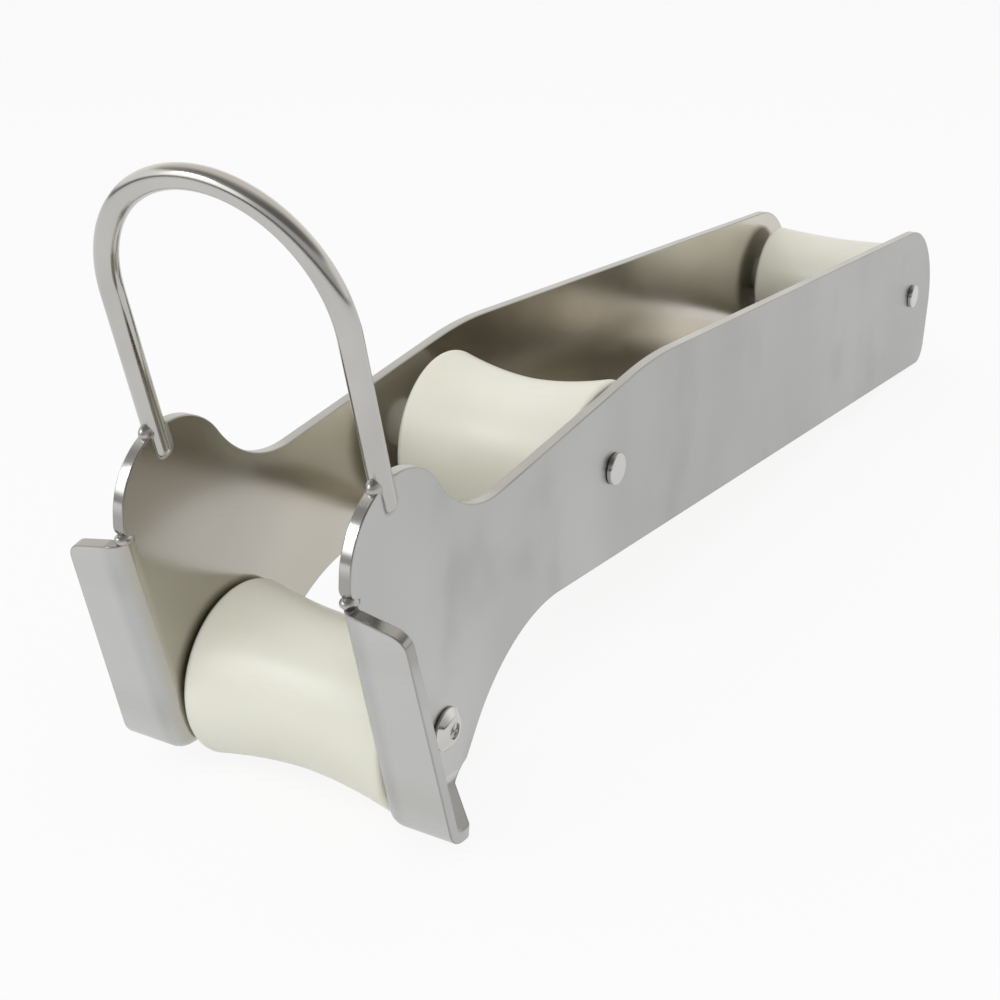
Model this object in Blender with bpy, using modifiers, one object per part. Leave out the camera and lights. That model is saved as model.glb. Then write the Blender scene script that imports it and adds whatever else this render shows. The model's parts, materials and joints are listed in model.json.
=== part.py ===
"""Anchor bow roller for a boat: a welded stainless channel with a guard hoop and three nylon rollers.

Frame: +X towards the bow, +Y to port, +Z up. The origin is on the underside of the base plate, on the
centreline, straight below the aft axle. All lengths are in metres and all angles in degrees.
"""

import bmesh
import bpy
from math import acos, asin, ceil, cos, pi, radians, sin, sqrt, tan
from mathutils import Matrix, Vector

# Channel
CHANNEL_WIDTH = 0.076       # clear width between the cheeks
SHEET = 0.004               # thickness of the cheeks
BASE_SHEET = 0.003          # thickness of the base plate
EDGE_ROUND = 0.0004         # polished rounding on the edges of the cheeks

# Cheek outline, seen from the side
REAR_REACH = 0.0341         # rear edge behind the aft axle
REAR_HEIGHT = 0.0744        # top edge above the deck at the rear
REAR_FOOT_RADIUS = 0.009
REAR_SHOULDER_RADIUS = 0.0445
STEP_X = 0.3108             # where the top edge starts to fall
STEP_HEIGHT = 0.0691
STEP_RADIUS = 0.180
STEP_FALL = 11.5            # slope of the falling top edge
NOTCH_X = 0.439             # corner of the notch behind the ear
NOTCH_RADIUS = 0.0388
EAR_RISE = 48.4             # slope from the notch up to the ear
EAR_RADIUS = 0.0248
EAR_FRONT_X = 0.4976        # upright front edge of the ear
EAR_FOOT_RADIUS = 0.004     # lower front corner of the ear, above the lip
BELLY_X = 0.4077            # corner where the underside turns down at the bow
BELLY_RADIUS = 0.060
BELLY_FALL = 58.8           # slope of the underside beyond that corner

# Lip: the front edge of each cheek, pressed outwards
LIP_LEAD = 0.0018           # top end of the lip's face line ahead of the ear's front edge
LIP_TOP_DROP = 0.0093       # and below the centre of the ear
LIP_LEAN = 19.7             # lean of the face from the upright
LIP_WIDTH = 0.0202          # beyond the cheek's outer face
LIP_TAPER = 0.0022          # how much narrower the lip is at its top
LIP_BOTTOM = 0.0445         # underside of the tab below the deck
LIP_BEND_RADIUS = 0.0065    # outer radius of the bend along the front edge
LIP_CURL_RADIUS = 0.008     # outer radius of the curl under the bow
LIP_TOP_START = 0.0008      # start of the bend below the end of the face line
LIP_TOP_SLOPE = 0.2         # fall of the lip's top edge towards its outer corner
LIP_CORNER_RADIUS = 0.006
TAB_REACH = 0.0035          # tab behind the curl, at its outer edge
TAB_CORNER_RADIUS = 0.0045
RELIEF_HEIGHT = 0.0016      # relief slot between the ear's front edge and the bend
RELIEF_DEPTH = 0.0020       # relief slot behind the line of the bend
RELIEF_RADIUS = 0.0008

# Base plate
BASE_REAR_INSET = 0.006     # rear edge of the base plate ahead of the cheeks' rear edge
BASE_FRONT_X = 0.350
BASE_CORNER_RADIUS = 0.004
DECK_HOLE_DIAMETER = 0.009
DECK_HOLE_REAR_X = 0.070
DECK_HOLE_FRONT_X = 0.240
DECK_HOLE_SPREAD = 0.040    # between the two holes of a pair
SEAM_LEG = 0.003            # leg of the fillet weld along each side of the base plate
SEAM_FULLNESS = 0.62        # place of the bead's crown, as a share of its legs

# Axles, along Y
AFT_AXLE_Z = 0.0401
MIDDLE_AXLE_X = 0.3388
MIDDLE_CLEARANCE = 0.0008   # between the middle roller and the base plate
BOW_AXLE_X = 0.4446
BOW_AXLE_Z = -0.022

# Rollers: room between their ends and the cheeks, radius at the ends and at the waist
BOW_ROLLER_ROOM = 0.0008
BOW_ROLLER_END_RADIUS = 0.0297
BOW_ROLLER_WAIST_RADIUS = 0.0250
MIDDLE_ROLLER_PORT_ROOM = 0.0006
MIDDLE_ROLLER_STARBOARD_ROOM = 0.0094
MIDDLE_ROLLER_END_RADIUS = 0.0307
MIDDLE_ROLLER_WAIST_RADIUS = 0.0252
AFT_ROLLER_ROOM = 0.0042
AFT_ROLLER_END_RADIUS = 0.0254
AFT_ROLLER_WAIST_RADIUS = 0.0236
ROLLER_EDGE_RADIUS = 0.0020
WAIST_POWER = 1.8           # how flat the waist curve is in its middle
BORE_CHAMFER = 0.0008

# Bow bolt with its spacer sleeve, washer and lock nut
BOLT_DIAMETER = 0.008
BOLT_HEAD_DIAMETER = 0.014
BOLT_HEAD_HEIGHT = 0.0030
BOLT_HEAD_FLAT = 0.0080     # diameter of the head's flat top
BOLT_HEAD_EDGE = 0.0008     # upright rim of the head
BOLT_HEAD_ROUND = 0.0050    # rounding between the flat top and the rim
BOLT_SOCKET_WIDTH = 0.005   # across the flats of the hexagon socket
BOLT_SOCKET_DEPTH = 0.0019
BOLT_OVERHANG = 0.002       # bolt end beyond the nut
SLEEVE_DIAMETER = 0.012
NUT_WIDTH = 0.013           # across the flats
NUT_HEIGHT = 0.0055
NUT_COLLAR_HEIGHT = 0.0025
NUT_COLLAR_DIAMETER = 0.0118
INSERT_HEIGHT = 0.0016
INSERT_DIAMETER = 0.0102

# Clevis pins with their washers and split pins
PIN_DIAMETER = 0.008
PIN_HEAD_DIAMETER = 0.0115
PIN_HEAD_HEIGHT = 0.0018
PIN_TAIL = 0.0022           # pin beyond its cross hole
END_CHAMFER = 0.0008        # rounded ends of bolts and pins
SPLIT_WIRE_DIAMETER = 0.0010
SPLIT_EYE_RADIUS = 0.0017
SPLIT_LEG_LENGTH = 0.0045   # legs below the pin
SPLIT_LEG_SPREAD = 35.0     # how far each leg is bent out
WASHER_DIAMETER = 0.016
WASHER_HEIGHT = 0.0016
THRUST_WASHER_DIAMETER = 0.018

# Hoop
HOOP_ROD_DIAMETER = 0.007
HOOP_LEAN = 20.2            # lean of the legs towards the bow
HOOP_SEAT_DEPTH = 0.010     # foot of each leg inside the ear
HOOP_LEG_LENGTH = 0.0555    # straight part of each leg
HOOP_FOOT_ROUND = 0.0028    # rounding at the end of each leg
HOOP_BEAD_WIDTH = 0.0040    # weld bead in front of each leg
HOOP_BEAD_HEIGHT = 0.0030
HOOP_BEAD_DEPTH = 0.0024

# Clearances
SEAT_GAP = 0.0003           # between pieces that touch, and round the pins
RUNNING_GAP = 0.0004        # between a roller's bore and its axle

# Fineness of the curves
ARC_ERROR = 0.00006         # largest distance of a chord from its arc
ARC_ROOM = 0.995            # largest share of a straight piece that two arcs may use
WELD_DISTANCE = 0.00001     # points closer than this are one
TURN_STEPS = 40             # facets round a roller
SMALL_TURN_STEPS = 24       # facets round a pin, washer or bolt
BEND_STEPS = 6              # facets round the lip's bend and its curl
WAIST_STEPS = 10            # facets along a roller's waist
SPLIT_EYE_STEPS = 12        # facets round the eye of a split pin
SPLIT_WIRE_FINENESS = 2     # curve resolution round a split pin's wire
HOOP_BOW_STEPS = 24         # facets round the hoop's top
HOOP_FINENESS = 4           # curve resolution round the hoop's rod
HOOP_FOOT_STEPS = 3         # facets round the end of each leg
EDGE_STEPS = 2              # facets round an edge of the cheeks
BEAD_SIDES = 20
BEAD_RINGS = 12
PIN_HOLE_STEPS = 16
HEXAGON_SIDES = 6
EDGE_ANGLE = 40             # sharper edges are rounded, and shaded as sharp
FOOT_ANGLE = 60

# Values that follow from the sizes above
HALF_CHANNEL = CHANNEL_WIDTH / 2
OUTER_FACE = HALF_CHANNEL + SHEET
PORT = 1
STARBOARD = -1
EAR_CORNER_Z = (STEP_HEIGHT - tan(radians(STEP_FALL)) * (NOTCH_X - STEP_X)
                + tan(radians(EAR_RISE)) * (EAR_FRONT_X - NOTCH_X))
EAR_CENTRE_X = EAR_FRONT_X - EAR_RADIUS
EAR_CENTRE_Z = EAR_CORNER_Z - EAR_RADIUS * tan(radians(90 + EAR_RISE) / 2)
LIP_TOP_X = EAR_FRONT_X + LIP_LEAD
LIP_TOP_Z = EAR_CENTRE_Z - LIP_TOP_DROP
MIDDLE_AXLE_Z = BASE_SHEET + MIDDLE_CLEARANCE + MIDDLE_ROLLER_END_RADIUS
HOOP_UP = Vector((sin(radians(HOOP_LEAN)), 0, cos(radians(HOOP_LEAN))))
HOOP_FORWARD = Vector((cos(radians(HOOP_LEAN)), 0, -sin(radians(HOOP_LEAN))))

SATIN_STEEL = ((0.62, 0.62, 0.61), 0.34, 1.0)
POLISHED_STEEL = ((0.70, 0.70, 0.69), 0.14, 1.0)
PLAIN_STEEL = ((0.56, 0.56, 0.55), 0.28, 1.0)
WELD_STEEL = ((0.66, 0.65, 0.63), 0.20, 1.0)
CREAM_NYLON = ((0.80, 0.78, 0.68), 0.42, 0.0)
WHITE_NYLON = ((0.82, 0.82, 0.80), 0.45, 0.0)


def new_collection(name):
    collection = bpy.data.collections.new(name)
    bpy.context.scene.collection.children.link(collection)
    return collection


def clear_scene():
    for item in list(bpy.data.objects):
        bpy.data.objects.remove(item, do_unlink=True)


clear_scene()
PARTS = new_collection("Bow Roller")
CUTTERS = new_collection("Cutters")


def add_object(name, data, finish):
    """Link a new part and give it a material of its own."""
    part = bpy.data.objects.new(name, data)
    PARTS.objects.link(part)
    colour, roughness, metallic = finish
    material = bpy.data.materials.new(name)
    material.use_nodes = True
    shader = material.node_tree.nodes["Principled BSDF"]
    shader.inputs["Base Color"].default_value = (*colour, 1.0)
    shader.inputs["Roughness"].default_value = roughness
    shader.inputs["Metallic"].default_value = metallic
    data.materials.append(material)
    return part


def as_cutter(cutter):
    """Move an object to the cutters, where it only guides a Boolean."""
    for collection in list(cutter.users_collection):
        collection.objects.unlink(cutter)
    CUTTERS.objects.link(cutter)
    cutter.hide_render = True
    cutter.display_type = "WIRE"
    return cutter


def cut(part, cutter):
    modifier = part.modifiers.new("cut " + cutter.name, "BOOLEAN")
    modifier.operation = "DIFFERENCE"
    modifier.solver = "EXACT"
    modifier.object = cutter


def bevel(part, width, segments, angle):
    modifier = part.modifiers.new("rounded edges", "BEVEL")
    modifier.width = width
    modifier.segments = segments
    modifier.limit_method = "ANGLE"
    modifier.angle_limit = radians(angle)


def smooth(mesh):
    mesh.shade_smooth()
    mesh.set_sharp_from_angle(angle=radians(EDGE_ANGLE))


def rounded_line(corners):
    """Points of an open line whose inner corners (a, b, radius) are rounded by true arcs.

    Where two arcs would not fit on the straight piece between them, both are made smaller.
    """
    places = [Vector(corner[:2]) for corner in corners]
    steps = [after - before for before, after in zip(places, places[1:])]
    turns = [0.0, *[before.angle(after) for before, after in zip(steps, steps[1:])], 0.0]
    reaches = [corner[2] * tan(turn / 2) for corner, turn in zip(corners, turns)]
    fits = [1.0] * len(corners)
    for index in range(len(corners) - 1):
        length = steps[index].length
        wanted = reaches[index] + reaches[index + 1]
        if wanted > ARC_ROOM * length:
            fits[index] = min(fits[index], ARC_ROOM * length / wanted)
            fits[index + 1] = min(fits[index + 1], ARC_ROOM * length / wanted)
    points = [places[0]]
    for index in range(1, len(corners) - 1):
        here, turn = places[index], turns[index]
        radius = corners[index][2] * fits[index]
        if radius < ARC_ERROR or turn < radians(1):
            points.append(here)
            continue
        back = (places[index - 1] - here).normalized()
        ahead = (places[index + 1] - here).normalized()
        centre = here + (back + ahead).normalized() * radius / cos(turn / 2)
        start = here + back * radius * tan(turn / 2) - centre
        side = 1 if back.cross(ahead) < 0 else -1
        count = max(2, ceil(turn / (2 * acos(1 - ARC_ERROR / radius))))
        for step in range(count + 1):
            points.append(centre + Matrix.Rotation(side * turn * step / count, 2) @ start)
    points.append(places[-1])
    return points


def circle(x, y, diameter, steps):
    ring = [2 * pi * step / steps for step in range(steps)]
    return [Vector((x + diameter / 2 * cos(a), y + diameter / 2 * sin(a))) for a in ring]


def mesh_from_curve(curve):
    """Turn a curve into a mesh with welded caps and remove the curve."""
    guide = bpy.data.objects.new(curve.name, curve)
    CUTTERS.objects.link(guide)
    mesh = bpy.data.meshes.new_from_object(guide.evaluated_get(bpy.context.evaluated_depsgraph_get()))
    bpy.data.objects.remove(guide, do_unlink=True)
    shape = bmesh.new()
    shape.from_mesh(mesh)
    bmesh.ops.remove_doubles(shape, verts=shape.verts, dist=WELD_DISTANCE)
    shape.to_mesh(mesh)
    shape.free()
    return mesh


def flat_solid(name, outlines, thickness):
    """Mesh of flat outlines in XY, inner ones being holes, with its thickness along Z about z = 0."""
    curve = bpy.data.curves.new(name, "CURVE")
    curve.dimensions = "2D"
    curve.fill_mode = "BOTH"
    curve.extrude = thickness / 2
    for outline in outlines:
        spline = curve.splines.new("POLY")
        spline.points.add(len(outline) - 1)
        for point, place in zip(spline.points, outline):
            point.co = (place[0], place[1], 0, 1)
        spline.use_cyclic_u = True
    return mesh_from_curve(curve)


def rod_solid(name, places, diameter, fineness):
    """Mesh of a round rod along the given places, with closed ends."""
    curve = bpy.data.curves.new(name, "CURVE")
    curve.dimensions = "3D"
    curve.bevel_depth = diameter / 2
    curve.bevel_resolution = fineness
    curve.use_fill_caps = True
    spline = curve.splines.new("POLY")
    spline.points.add(len(places) - 1)
    for point, place in zip(spline.points, places):
        point.co = (*place, 1)
    return mesh_from_curve(curve)


def turned_mesh(name, profile, bored):
    """Mesh of a profile of (radius, height) points, from the top down its outer side."""
    mesh = bpy.data.meshes.new(name)
    places = [(radius, 0, height) for radius, height in profile]
    edges = [(index, index + 1) for index in range(len(places) - 1)]
    if bored:
        edges.append((len(places) - 1, 0))
    mesh.from_pydata(places, edges, [])
    return mesh


def lathe(part, steps):
    """Turn the part's profile about its Z axis and lay that axis along Y."""
    modifier = part.modifiers.new("turned", "SCREW")
    modifier.axis = "Z"
    modifier.steps = steps
    modifier.render_steps = steps
    modifier.use_merge_vertices = True
    modifier.merge_threshold = WELD_DISTANCE
    part.rotation_euler = (-pi / 2, 0, 0)


def turned(name, axle, profile, bored, steps, finish):
    part = add_object(name, turned_mesh(name, profile, bored), finish)
    lathe(part, steps)
    part.location = axle
    return part


def ring(name, axle, start, end, inner_diameter, outer_diameter, finish):
    """Washer or sleeve on an axle, between two distances along Y."""
    low, high = sorted((start, end))
    profile = [(inner_diameter / 2, high), (outer_diameter / 2, high),
               (outer_diameter / 2, low), (inner_diameter / 2, low)]
    return turned(name, axle, profile, True, SMALL_TURN_STEPS, finish)


def round_cutter(name, place, diameter, length, direction, steps):
    """Cylinder that bores a hole along the given direction."""
    mesh = bpy.data.meshes.new(name)
    shape = bmesh.new()
    bmesh.ops.create_cone(shape, cap_ends=True, segments=steps, radius1=diameter / 2,
                          radius2=diameter / 2, depth=length)
    shape.to_mesh(mesh)
    shape.free()
    cutter = bpy.data.objects.new(name, mesh)
    cutter.location = place
    cutter.rotation_mode = "QUATERNION"
    cutter.rotation_quaternion = Vector((0, 0, 1)).rotation_difference(direction)
    return as_cutter(cutter)


def lip_rows():
    """Points of the lip's face line with its outward directions, from the top down to the tab.

    The line runs straight down the lean, round the curl and back along the tab. All points are in
    the side view, as (x, z).
    """
    lean = radians(LIP_LEAN)
    top = Vector((LIP_TOP_X, LIP_TOP_Z))
    down = Vector((-sin(lean), -cos(lean)))
    front = Vector((cos(lean), -sin(lean)))
    fall = (LIP_TOP_Z + LIP_BOTTOM - LIP_CURL_RADIUS * (1 - sin(lean))) / cos(lean)
    centre = top + down * fall - front * LIP_CURL_RADIUS
    rows = [(top + down * LIP_TOP_START, front)]
    for step in range(BEND_STEPS + 1):
        swing = lean + (pi / 2 - lean) * step / BEND_STEPS
        outward = Vector((cos(swing), -sin(swing)))
        rows.append((centre + outward * LIP_CURL_RADIUS, outward))
    return rows


def underside_x(z):
    """Where the falling underside of the cheek is at a height below the deck."""
    return BELLY_X - z / tan(radians(BELLY_FALL))


def cheek_corners(bend_top, bend_end):
    """Corners of the flat part of the cheek, from the top of the bend round the rear to its end."""
    relief_x = bend_top.x - RELIEF_DEPTH
    relief_top = bend_top.y + RELIEF_HEIGHT
    notch_z = STEP_HEIGHT - tan(radians(STEP_FALL)) * (NOTCH_X - STEP_X)
    return [
        (bend_top.x, bend_top.y, 0),
        (relief_x, bend_top.y, RELIEF_RADIUS),
        (relief_x, relief_top, RELIEF_RADIUS),
        (EAR_FRONT_X, relief_top, EAR_FOOT_RADIUS),
        (EAR_FRONT_X, EAR_CORNER_Z, EAR_RADIUS),
        (NOTCH_X, notch_z, NOTCH_RADIUS),
        (STEP_X, STEP_HEIGHT, STEP_RADIUS),
        (-REAR_REACH, REAR_HEIGHT, REAR_SHOULDER_RADIUS),
        (-REAR_REACH, 0, REAR_FOOT_RADIUS),
        (BELLY_X, 0, BELLY_RADIUS),
        (bend_end.x, bend_end.y, 0),
    ]


def cheek_sheet(name, side):
    """Open sheet through the inner face of a cheek, its bend, its lip, the curl and the tab.

    The sheet is one piece: the flat side, the bend that follows the face line of the lip, the flat
    lip itself, and the doubly curved corner where bend and curl meet.
    """
    rows = lip_rows()
    bend_length = LIP_BEND_RADIUS * pi / 2
    flat_width = LIP_WIDTH + SHEET - LIP_BEND_RADIUS
    web_end = Vector((underside_x(LIP_BEND_RADIUS - LIP_BOTTOM), LIP_BEND_RADIUS - LIP_BOTTOM))
    tab_end_x = rows[-1][0].x - TAB_REACH
    slant = (tab_end_x - web_end.x) / (bend_length + flat_width)
    bend_y = HALF_CHANNEL + LIP_BEND_RADIUS
    outer_y = OUTER_FACE + LIP_WIDTH

    shape = bmesh.new()

    def add(x, y, z):
        return shape.verts.new((x, side * y, z))

    bend = []
    for point, outward in rows:
        turns = [pi / 2 * step / BEND_STEPS for step in range(BEND_STEPS + 1)]
        places = [(point - outward * LIP_BEND_RADIUS * (1 - sin(turn)), turn) for turn in turns]
        bend.append([add(place.x, bend_y - LIP_BEND_RADIUS * cos(turn), place.y) for place, turn in places])
    bend.append([])
    for step in range(BEND_STEPS + 1):
        turn = pi / 2 * step / BEND_STEPS
        x = web_end.x + slant * bend_length * step / BEND_STEPS
        z = LIP_BEND_RADIUS * (1 - sin(turn)) - LIP_BOTTOM
        bend[-1].append(add(x, bend_y - LIP_BEND_RADIUS * cos(turn), z))
    for upper, lower in zip(bend, bend[1:]):
        for step in range(BEND_STEPS):
            shape.faces.new((upper[step], lower[step], lower[step + 1], upper[step + 1]))

    bend_top = Vector((bend[0][0].co.x, bend[0][0].co.z))
    outline = rounded_line(cheek_corners(bend_top, web_end))
    web = [add(point.x, HALF_CHANNEL, point.y) for point in outline[1:-1]]
    shape.faces.new([bend[0][0], *web, *[row[0] for row in reversed(bend[1:])]])

    # The lip's flat face, with its distance from the bend and its distance down the face line
    down = (rows[1][0] - rows[0][0]).normalized()
    face_length = (rows[1][0] - rows[0][0]).length
    lip_corners = [(0, 0, 0), (flat_width - LIP_TAPER, LIP_TOP_SLOPE * flat_width, LIP_CORNER_RADIUS),
                   (flat_width, face_length, 0)]
    lip = []
    for out, fall in rounded_line(lip_corners)[1:]:
        place = rows[0][0] + down * fall
        lip.append(add(place.x, bend_y + out, place.y))
    shape.faces.new([bend[0][-1], bend[1][-1], *reversed(lip)])

    edge = [lip[-1]]
    for point, _ in rows[2:]:
        edge.append(add(point.x, outer_y, point.y))
    for step in range(BEND_STEPS):
        shape.faces.new((bend[step + 1][-1], bend[step + 2][-1], edge[step + 1], edge[step]))

    inner = bend[-1][-1].co.x
    tab_corners = [(0, inner, 0), (flat_width, tab_end_x, TAB_CORNER_RADIUS), (flat_width, rows[-1][0].x, 0)]
    tab = [add(x, bend_y + out, -LIP_BOTTOM) for out, x in rounded_line(tab_corners)[1:-1]]
    shape.faces.new([bend[-2][-1], bend[-1][-1], *tab, edge[-1]])

    if side == STARBOARD:
        bmesh.ops.reverse_faces(shape, faces=shape.faces)
    mesh = bpy.data.meshes.new(name)
    shape.to_mesh(mesh)
    shape.free()
    return mesh


def cheek_plate(name, side, cutters):
    mesh = cheek_sheet(name, side)
    part = add_object(name, mesh, SATIN_STEEL)
    thickness = part.modifiers.new("sheet", "SOLIDIFY")
    thickness.thickness = SHEET
    thickness.offset = -1
    thickness.use_even_offset = True
    bevel(part, EDGE_ROUND, EDGE_STEPS, EDGE_ANGLE)
    for cutter in cutters:
        cut(part, cutter)
    smooth(mesh)
    return part


def base_plate():
    """Floor of the channel, with two pairs of holes for the deck bolts."""
    rear = BASE_REAR_INSET - REAR_REACH
    half = HALF_CHANNEL - SEAT_GAP
    corners = [(rear, 0, 0), (rear, -half, BASE_CORNER_RADIUS), (BASE_FRONT_X, -half, BASE_CORNER_RADIUS),
               (BASE_FRONT_X, half, BASE_CORNER_RADIUS), (rear, half, BASE_CORNER_RADIUS), (rear, 0, 0)]
    outlines = [rounded_line(corners)[:-1]]
    for x in (DECK_HOLE_REAR_X, DECK_HOLE_FRONT_X):
        for side in (PORT, STARBOARD):
            outlines.append(circle(x, side * DECK_HOLE_SPREAD / 2, DECK_HOLE_DIAMETER, SMALL_TURN_STEPS))
    part = add_object("base_plate", flat_solid("base_plate", outlines, BASE_SHEET), SATIN_STEEL)
    part.location = (0, 0, BASE_SHEET / 2)
    return part


def seam_weld(name, side):
    """Slightly full fillet bead between the base plate and a cheek, up to the middle roller's rim."""
    rear = BASE_REAR_INSET - REAR_REACH + BASE_CORNER_RADIUS
    drop = MIDDLE_ROLLER_END_RADIUS - SEAT_GAP - SEAM_LEG
    length = MIDDLE_AXLE_X - sqrt(MIDDLE_ROLLER_END_RADIUS ** 2 - drop ** 2) - rear
    outline = [Vector((0, 0)), Vector((SEAM_LEG, 0)), Vector((SEAM_LEG, SEAM_LEG)) * SEAM_FULLNESS,
               Vector((0, SEAM_LEG))]
    part = add_object(name, flat_solid(name, [outline], length), WELD_STEEL)
    inward = Vector((0, -side, 0))
    upward = Vector((0, 0, 1))
    along = inward.cross(upward)
    turn = Matrix((inward, upward, along)).transposed().to_4x4()
    place = Vector((rear + length / 2, side * (HALF_CHANNEL - SEAT_GAP), BASE_SHEET + SEAT_GAP))
    part.matrix_world = Matrix.Translation(place) @ turn
    return part


def hoop_place(height, y):
    """Point at a height along the hoop's legs, measured from the centre of the ears."""
    return Vector((EAR_CENTRE_X, 0, EAR_CENTRE_Z)) + HOOP_UP * height + Vector((0, y, 0))


def hoop():
    """Round rod bent to a U that stands in the slots of both ears."""
    foot = EAR_RADIUS - HOOP_SEAT_DEPTH
    shoulder = foot + HOOP_LEG_LENGTH
    reach = HALF_CHANNEL + SHEET / 2
    places = [hoop_place(foot, reach)]
    for step in range(HOOP_BOW_STEPS + 1):
        turn = pi * step / HOOP_BOW_STEPS
        places.append(hoop_place(shoulder + reach * sin(turn), reach * cos(turn)))
    places.append(hoop_place(foot, -reach))
    mesh = rod_solid("hoop", places, HOOP_ROD_DIAMETER, HOOP_FINENESS)
    part = add_object("hoop", mesh, POLISHED_STEEL)
    bevel(part, HOOP_FOOT_ROUND, HOOP_FOOT_STEPS, FOOT_ANGLE)
    part.modifiers["rounded edges"].use_clamp_overlap = False
    smooth(mesh)
    return part


def hoop_slot():
    """Cutter for the slots that take the hoop's legs, through both ears."""
    half = HOOP_ROD_DIAMETER / 2 + SEAT_GAP
    top = HOOP_SEAT_DEPTH + EAR_RADIUS
    corner = HOOP_FOOT_ROUND + SEAT_GAP
    corners = [(-half, top, 0), (-half, -SEAT_GAP, corner), (half, -SEAT_GAP, corner), (half, top, 0)]
    mesh = flat_solid("hoop_slot", [rounded_line(corners)], 2 * (OUTER_FACE + SHEET))
    cutter = bpy.data.objects.new("hoop_slot", mesh)
    turn = Matrix((HOOP_FORWARD, HOOP_UP, HOOP_FORWARD.cross(HOOP_UP))).transposed().to_4x4()
    cutter.matrix_world = Matrix.Translation(hoop_place(EAR_RADIUS - HOOP_SEAT_DEPTH, 0)) @ turn
    return as_cutter(cutter)


def hoop_bead(name, side, ear_cutter):
    """Weld bead in the corner between a leg of the hoop and the front of its ear."""
    y = side * (HALF_CHANNEL + SHEET / 2)
    mesh = bpy.data.meshes.new(name)
    shape = bmesh.new()
    bmesh.ops.create_uvsphere(shape, u_segments=BEAD_SIDES, v_segments=BEAD_RINGS, radius=1)
    bmesh.ops.scale(shape, vec=(HOOP_BEAD_WIDTH, HOOP_BEAD_DEPTH, HOOP_BEAD_HEIGHT), verts=shape.verts)
    shape.to_mesh(mesh)
    shape.free()
    part = add_object(name, mesh, POLISHED_STEEL)
    part.location = hoop_place(EAR_RADIUS, y) + HOOP_FORWARD * HOOP_ROD_DIAMETER / 2
    part.rotation_euler = (0, radians(HOOP_LEAN), 0)
    leg = round_cutter(name + "_leg_space", hoop_place(EAR_RADIUS, y), HOOP_ROD_DIAMETER + 2 * SEAT_GAP,
                       HOOP_LEG_LENGTH, HOOP_UP, SMALL_TURN_STEPS)
    cut(part, leg)
    cut(part, ear_cutter)
    smooth(mesh)
    return part


def roller(name, axle, port_room, starboard_room, end_radius, waist_radius, bore_diameter):
    """Hourglass roller with rounded ends and a chamfered bore, between the cheeks."""
    half = HALF_CHANNEL - (port_room + starboard_room) / 2
    bore = bore_diameter / 2
    corners = [(bore, half - BORE_CHAMFER, 0), (bore + BORE_CHAMFER, half, 0),
               (end_radius, half, ROLLER_EDGE_RADIUS)]
    for step in range(1, WAIST_STEPS):
        share = 1 - 2 * step / WAIST_STEPS
        radius = waist_radius + (end_radius - waist_radius) * abs(share) ** WAIST_POWER
        corners.append((radius, share * half, 0))
    corners += [(end_radius, -half, ROLLER_EDGE_RADIUS), (bore + BORE_CHAMFER, -half, 0),
                (bore, BORE_CHAMFER - half, 0)]
    middle = axle + Vector((0, (starboard_room - port_room) / 2, 0))
    return turned(name, middle, rounded_line(corners), True, TURN_STEPS, CREAM_NYLON)


def bow_bolt(axle):
    """Button-head bolt with a hexagon socket, from port."""
    seat = OUTER_FACE + SEAT_GAP
    top = seat + BOLT_HEAD_HEIGHT
    nut_end = nut_seat() - NUT_HEIGHT - NUT_COLLAR_HEIGHT
    tail = nut_end - BOLT_OVERHANG
    shank = BOLT_DIAMETER / 2
    head = BOLT_HEAD_DIAMETER / 2
    corners = [(0, top, 0), (BOLT_HEAD_FLAT / 2, top, BOLT_HEAD_ROUND), (head, seat + BOLT_HEAD_EDGE, 0),
               (head, seat, 0), (shank, seat, 0), (shank, tail, END_CHAMFER), (0, tail, 0)]
    part = turned("bow_axle_bolt", axle, rounded_line(corners), False, SMALL_TURN_STEPS, POLISHED_STEEL)
    socket = round_cutter("bow_bolt_socket", axle + Vector((0, top, 0)), 2 * BOLT_SOCKET_WIDTH / sqrt(3),
                          2 * BOLT_SOCKET_DEPTH, Vector((0, 1, 0)), HEXAGON_SIDES)
    cut(part, socket)
    return part


def nut_seat():
    """Face of the lock nut that bears on the starboard washer."""
    return -(OUTER_FACE + SEAT_GAP + WASHER_HEIGHT + SEAT_GAP)


def bow_nut(axle):
    """Lock nut: a turned blank with its collar, cut to a hexagon, and its nylon insert."""
    seat = nut_seat()
    shoulder = seat - NUT_HEIGHT
    end = shoulder - NUT_COLLAR_HEIGHT
    corner = NUT_WIDTH / sqrt(3)
    bore = BOLT_DIAMETER / 2 + SEAT_GAP
    collar = NUT_COLLAR_DIAMETER / 2
    pocket = INSERT_DIAMETER / 2 + SEAT_GAP
    pocket_floor = end + INSERT_HEIGHT + SEAT_GAP
    chamfer = (corner - NUT_WIDTH / 2) / 2
    profile = [(bore, seat), (NUT_WIDTH / 2, seat), (corner, seat - chamfer), (corner, shoulder + chamfer),
               (NUT_WIDTH / 2, shoulder), (collar, shoulder), (collar, end), (pocket, end),
               (pocket, pocket_floor), (bore, pocket_floor)]
    part = turned("bow_lock_nut", axle, profile, True, SMALL_TURN_STEPS, PLAIN_STEEL)
    flats = round_cutter("bow_nut_flats", axle + Vector((0, (seat + end) / 2, 0)), 2 * corner,
                         4 * (seat - end), Vector((0, 1, 0)), HEXAGON_SIDES)
    modifier = part.modifiers.new("hexagon", "BOOLEAN")
    modifier.operation = "INTERSECT"
    modifier.solver = "EXACT"
    modifier.object = flats
    ring("bow_nut_insert", axle, end, end + INSERT_HEIGHT, 2 * bore, INSERT_DIAMETER, WHITE_NYLON)


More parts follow.
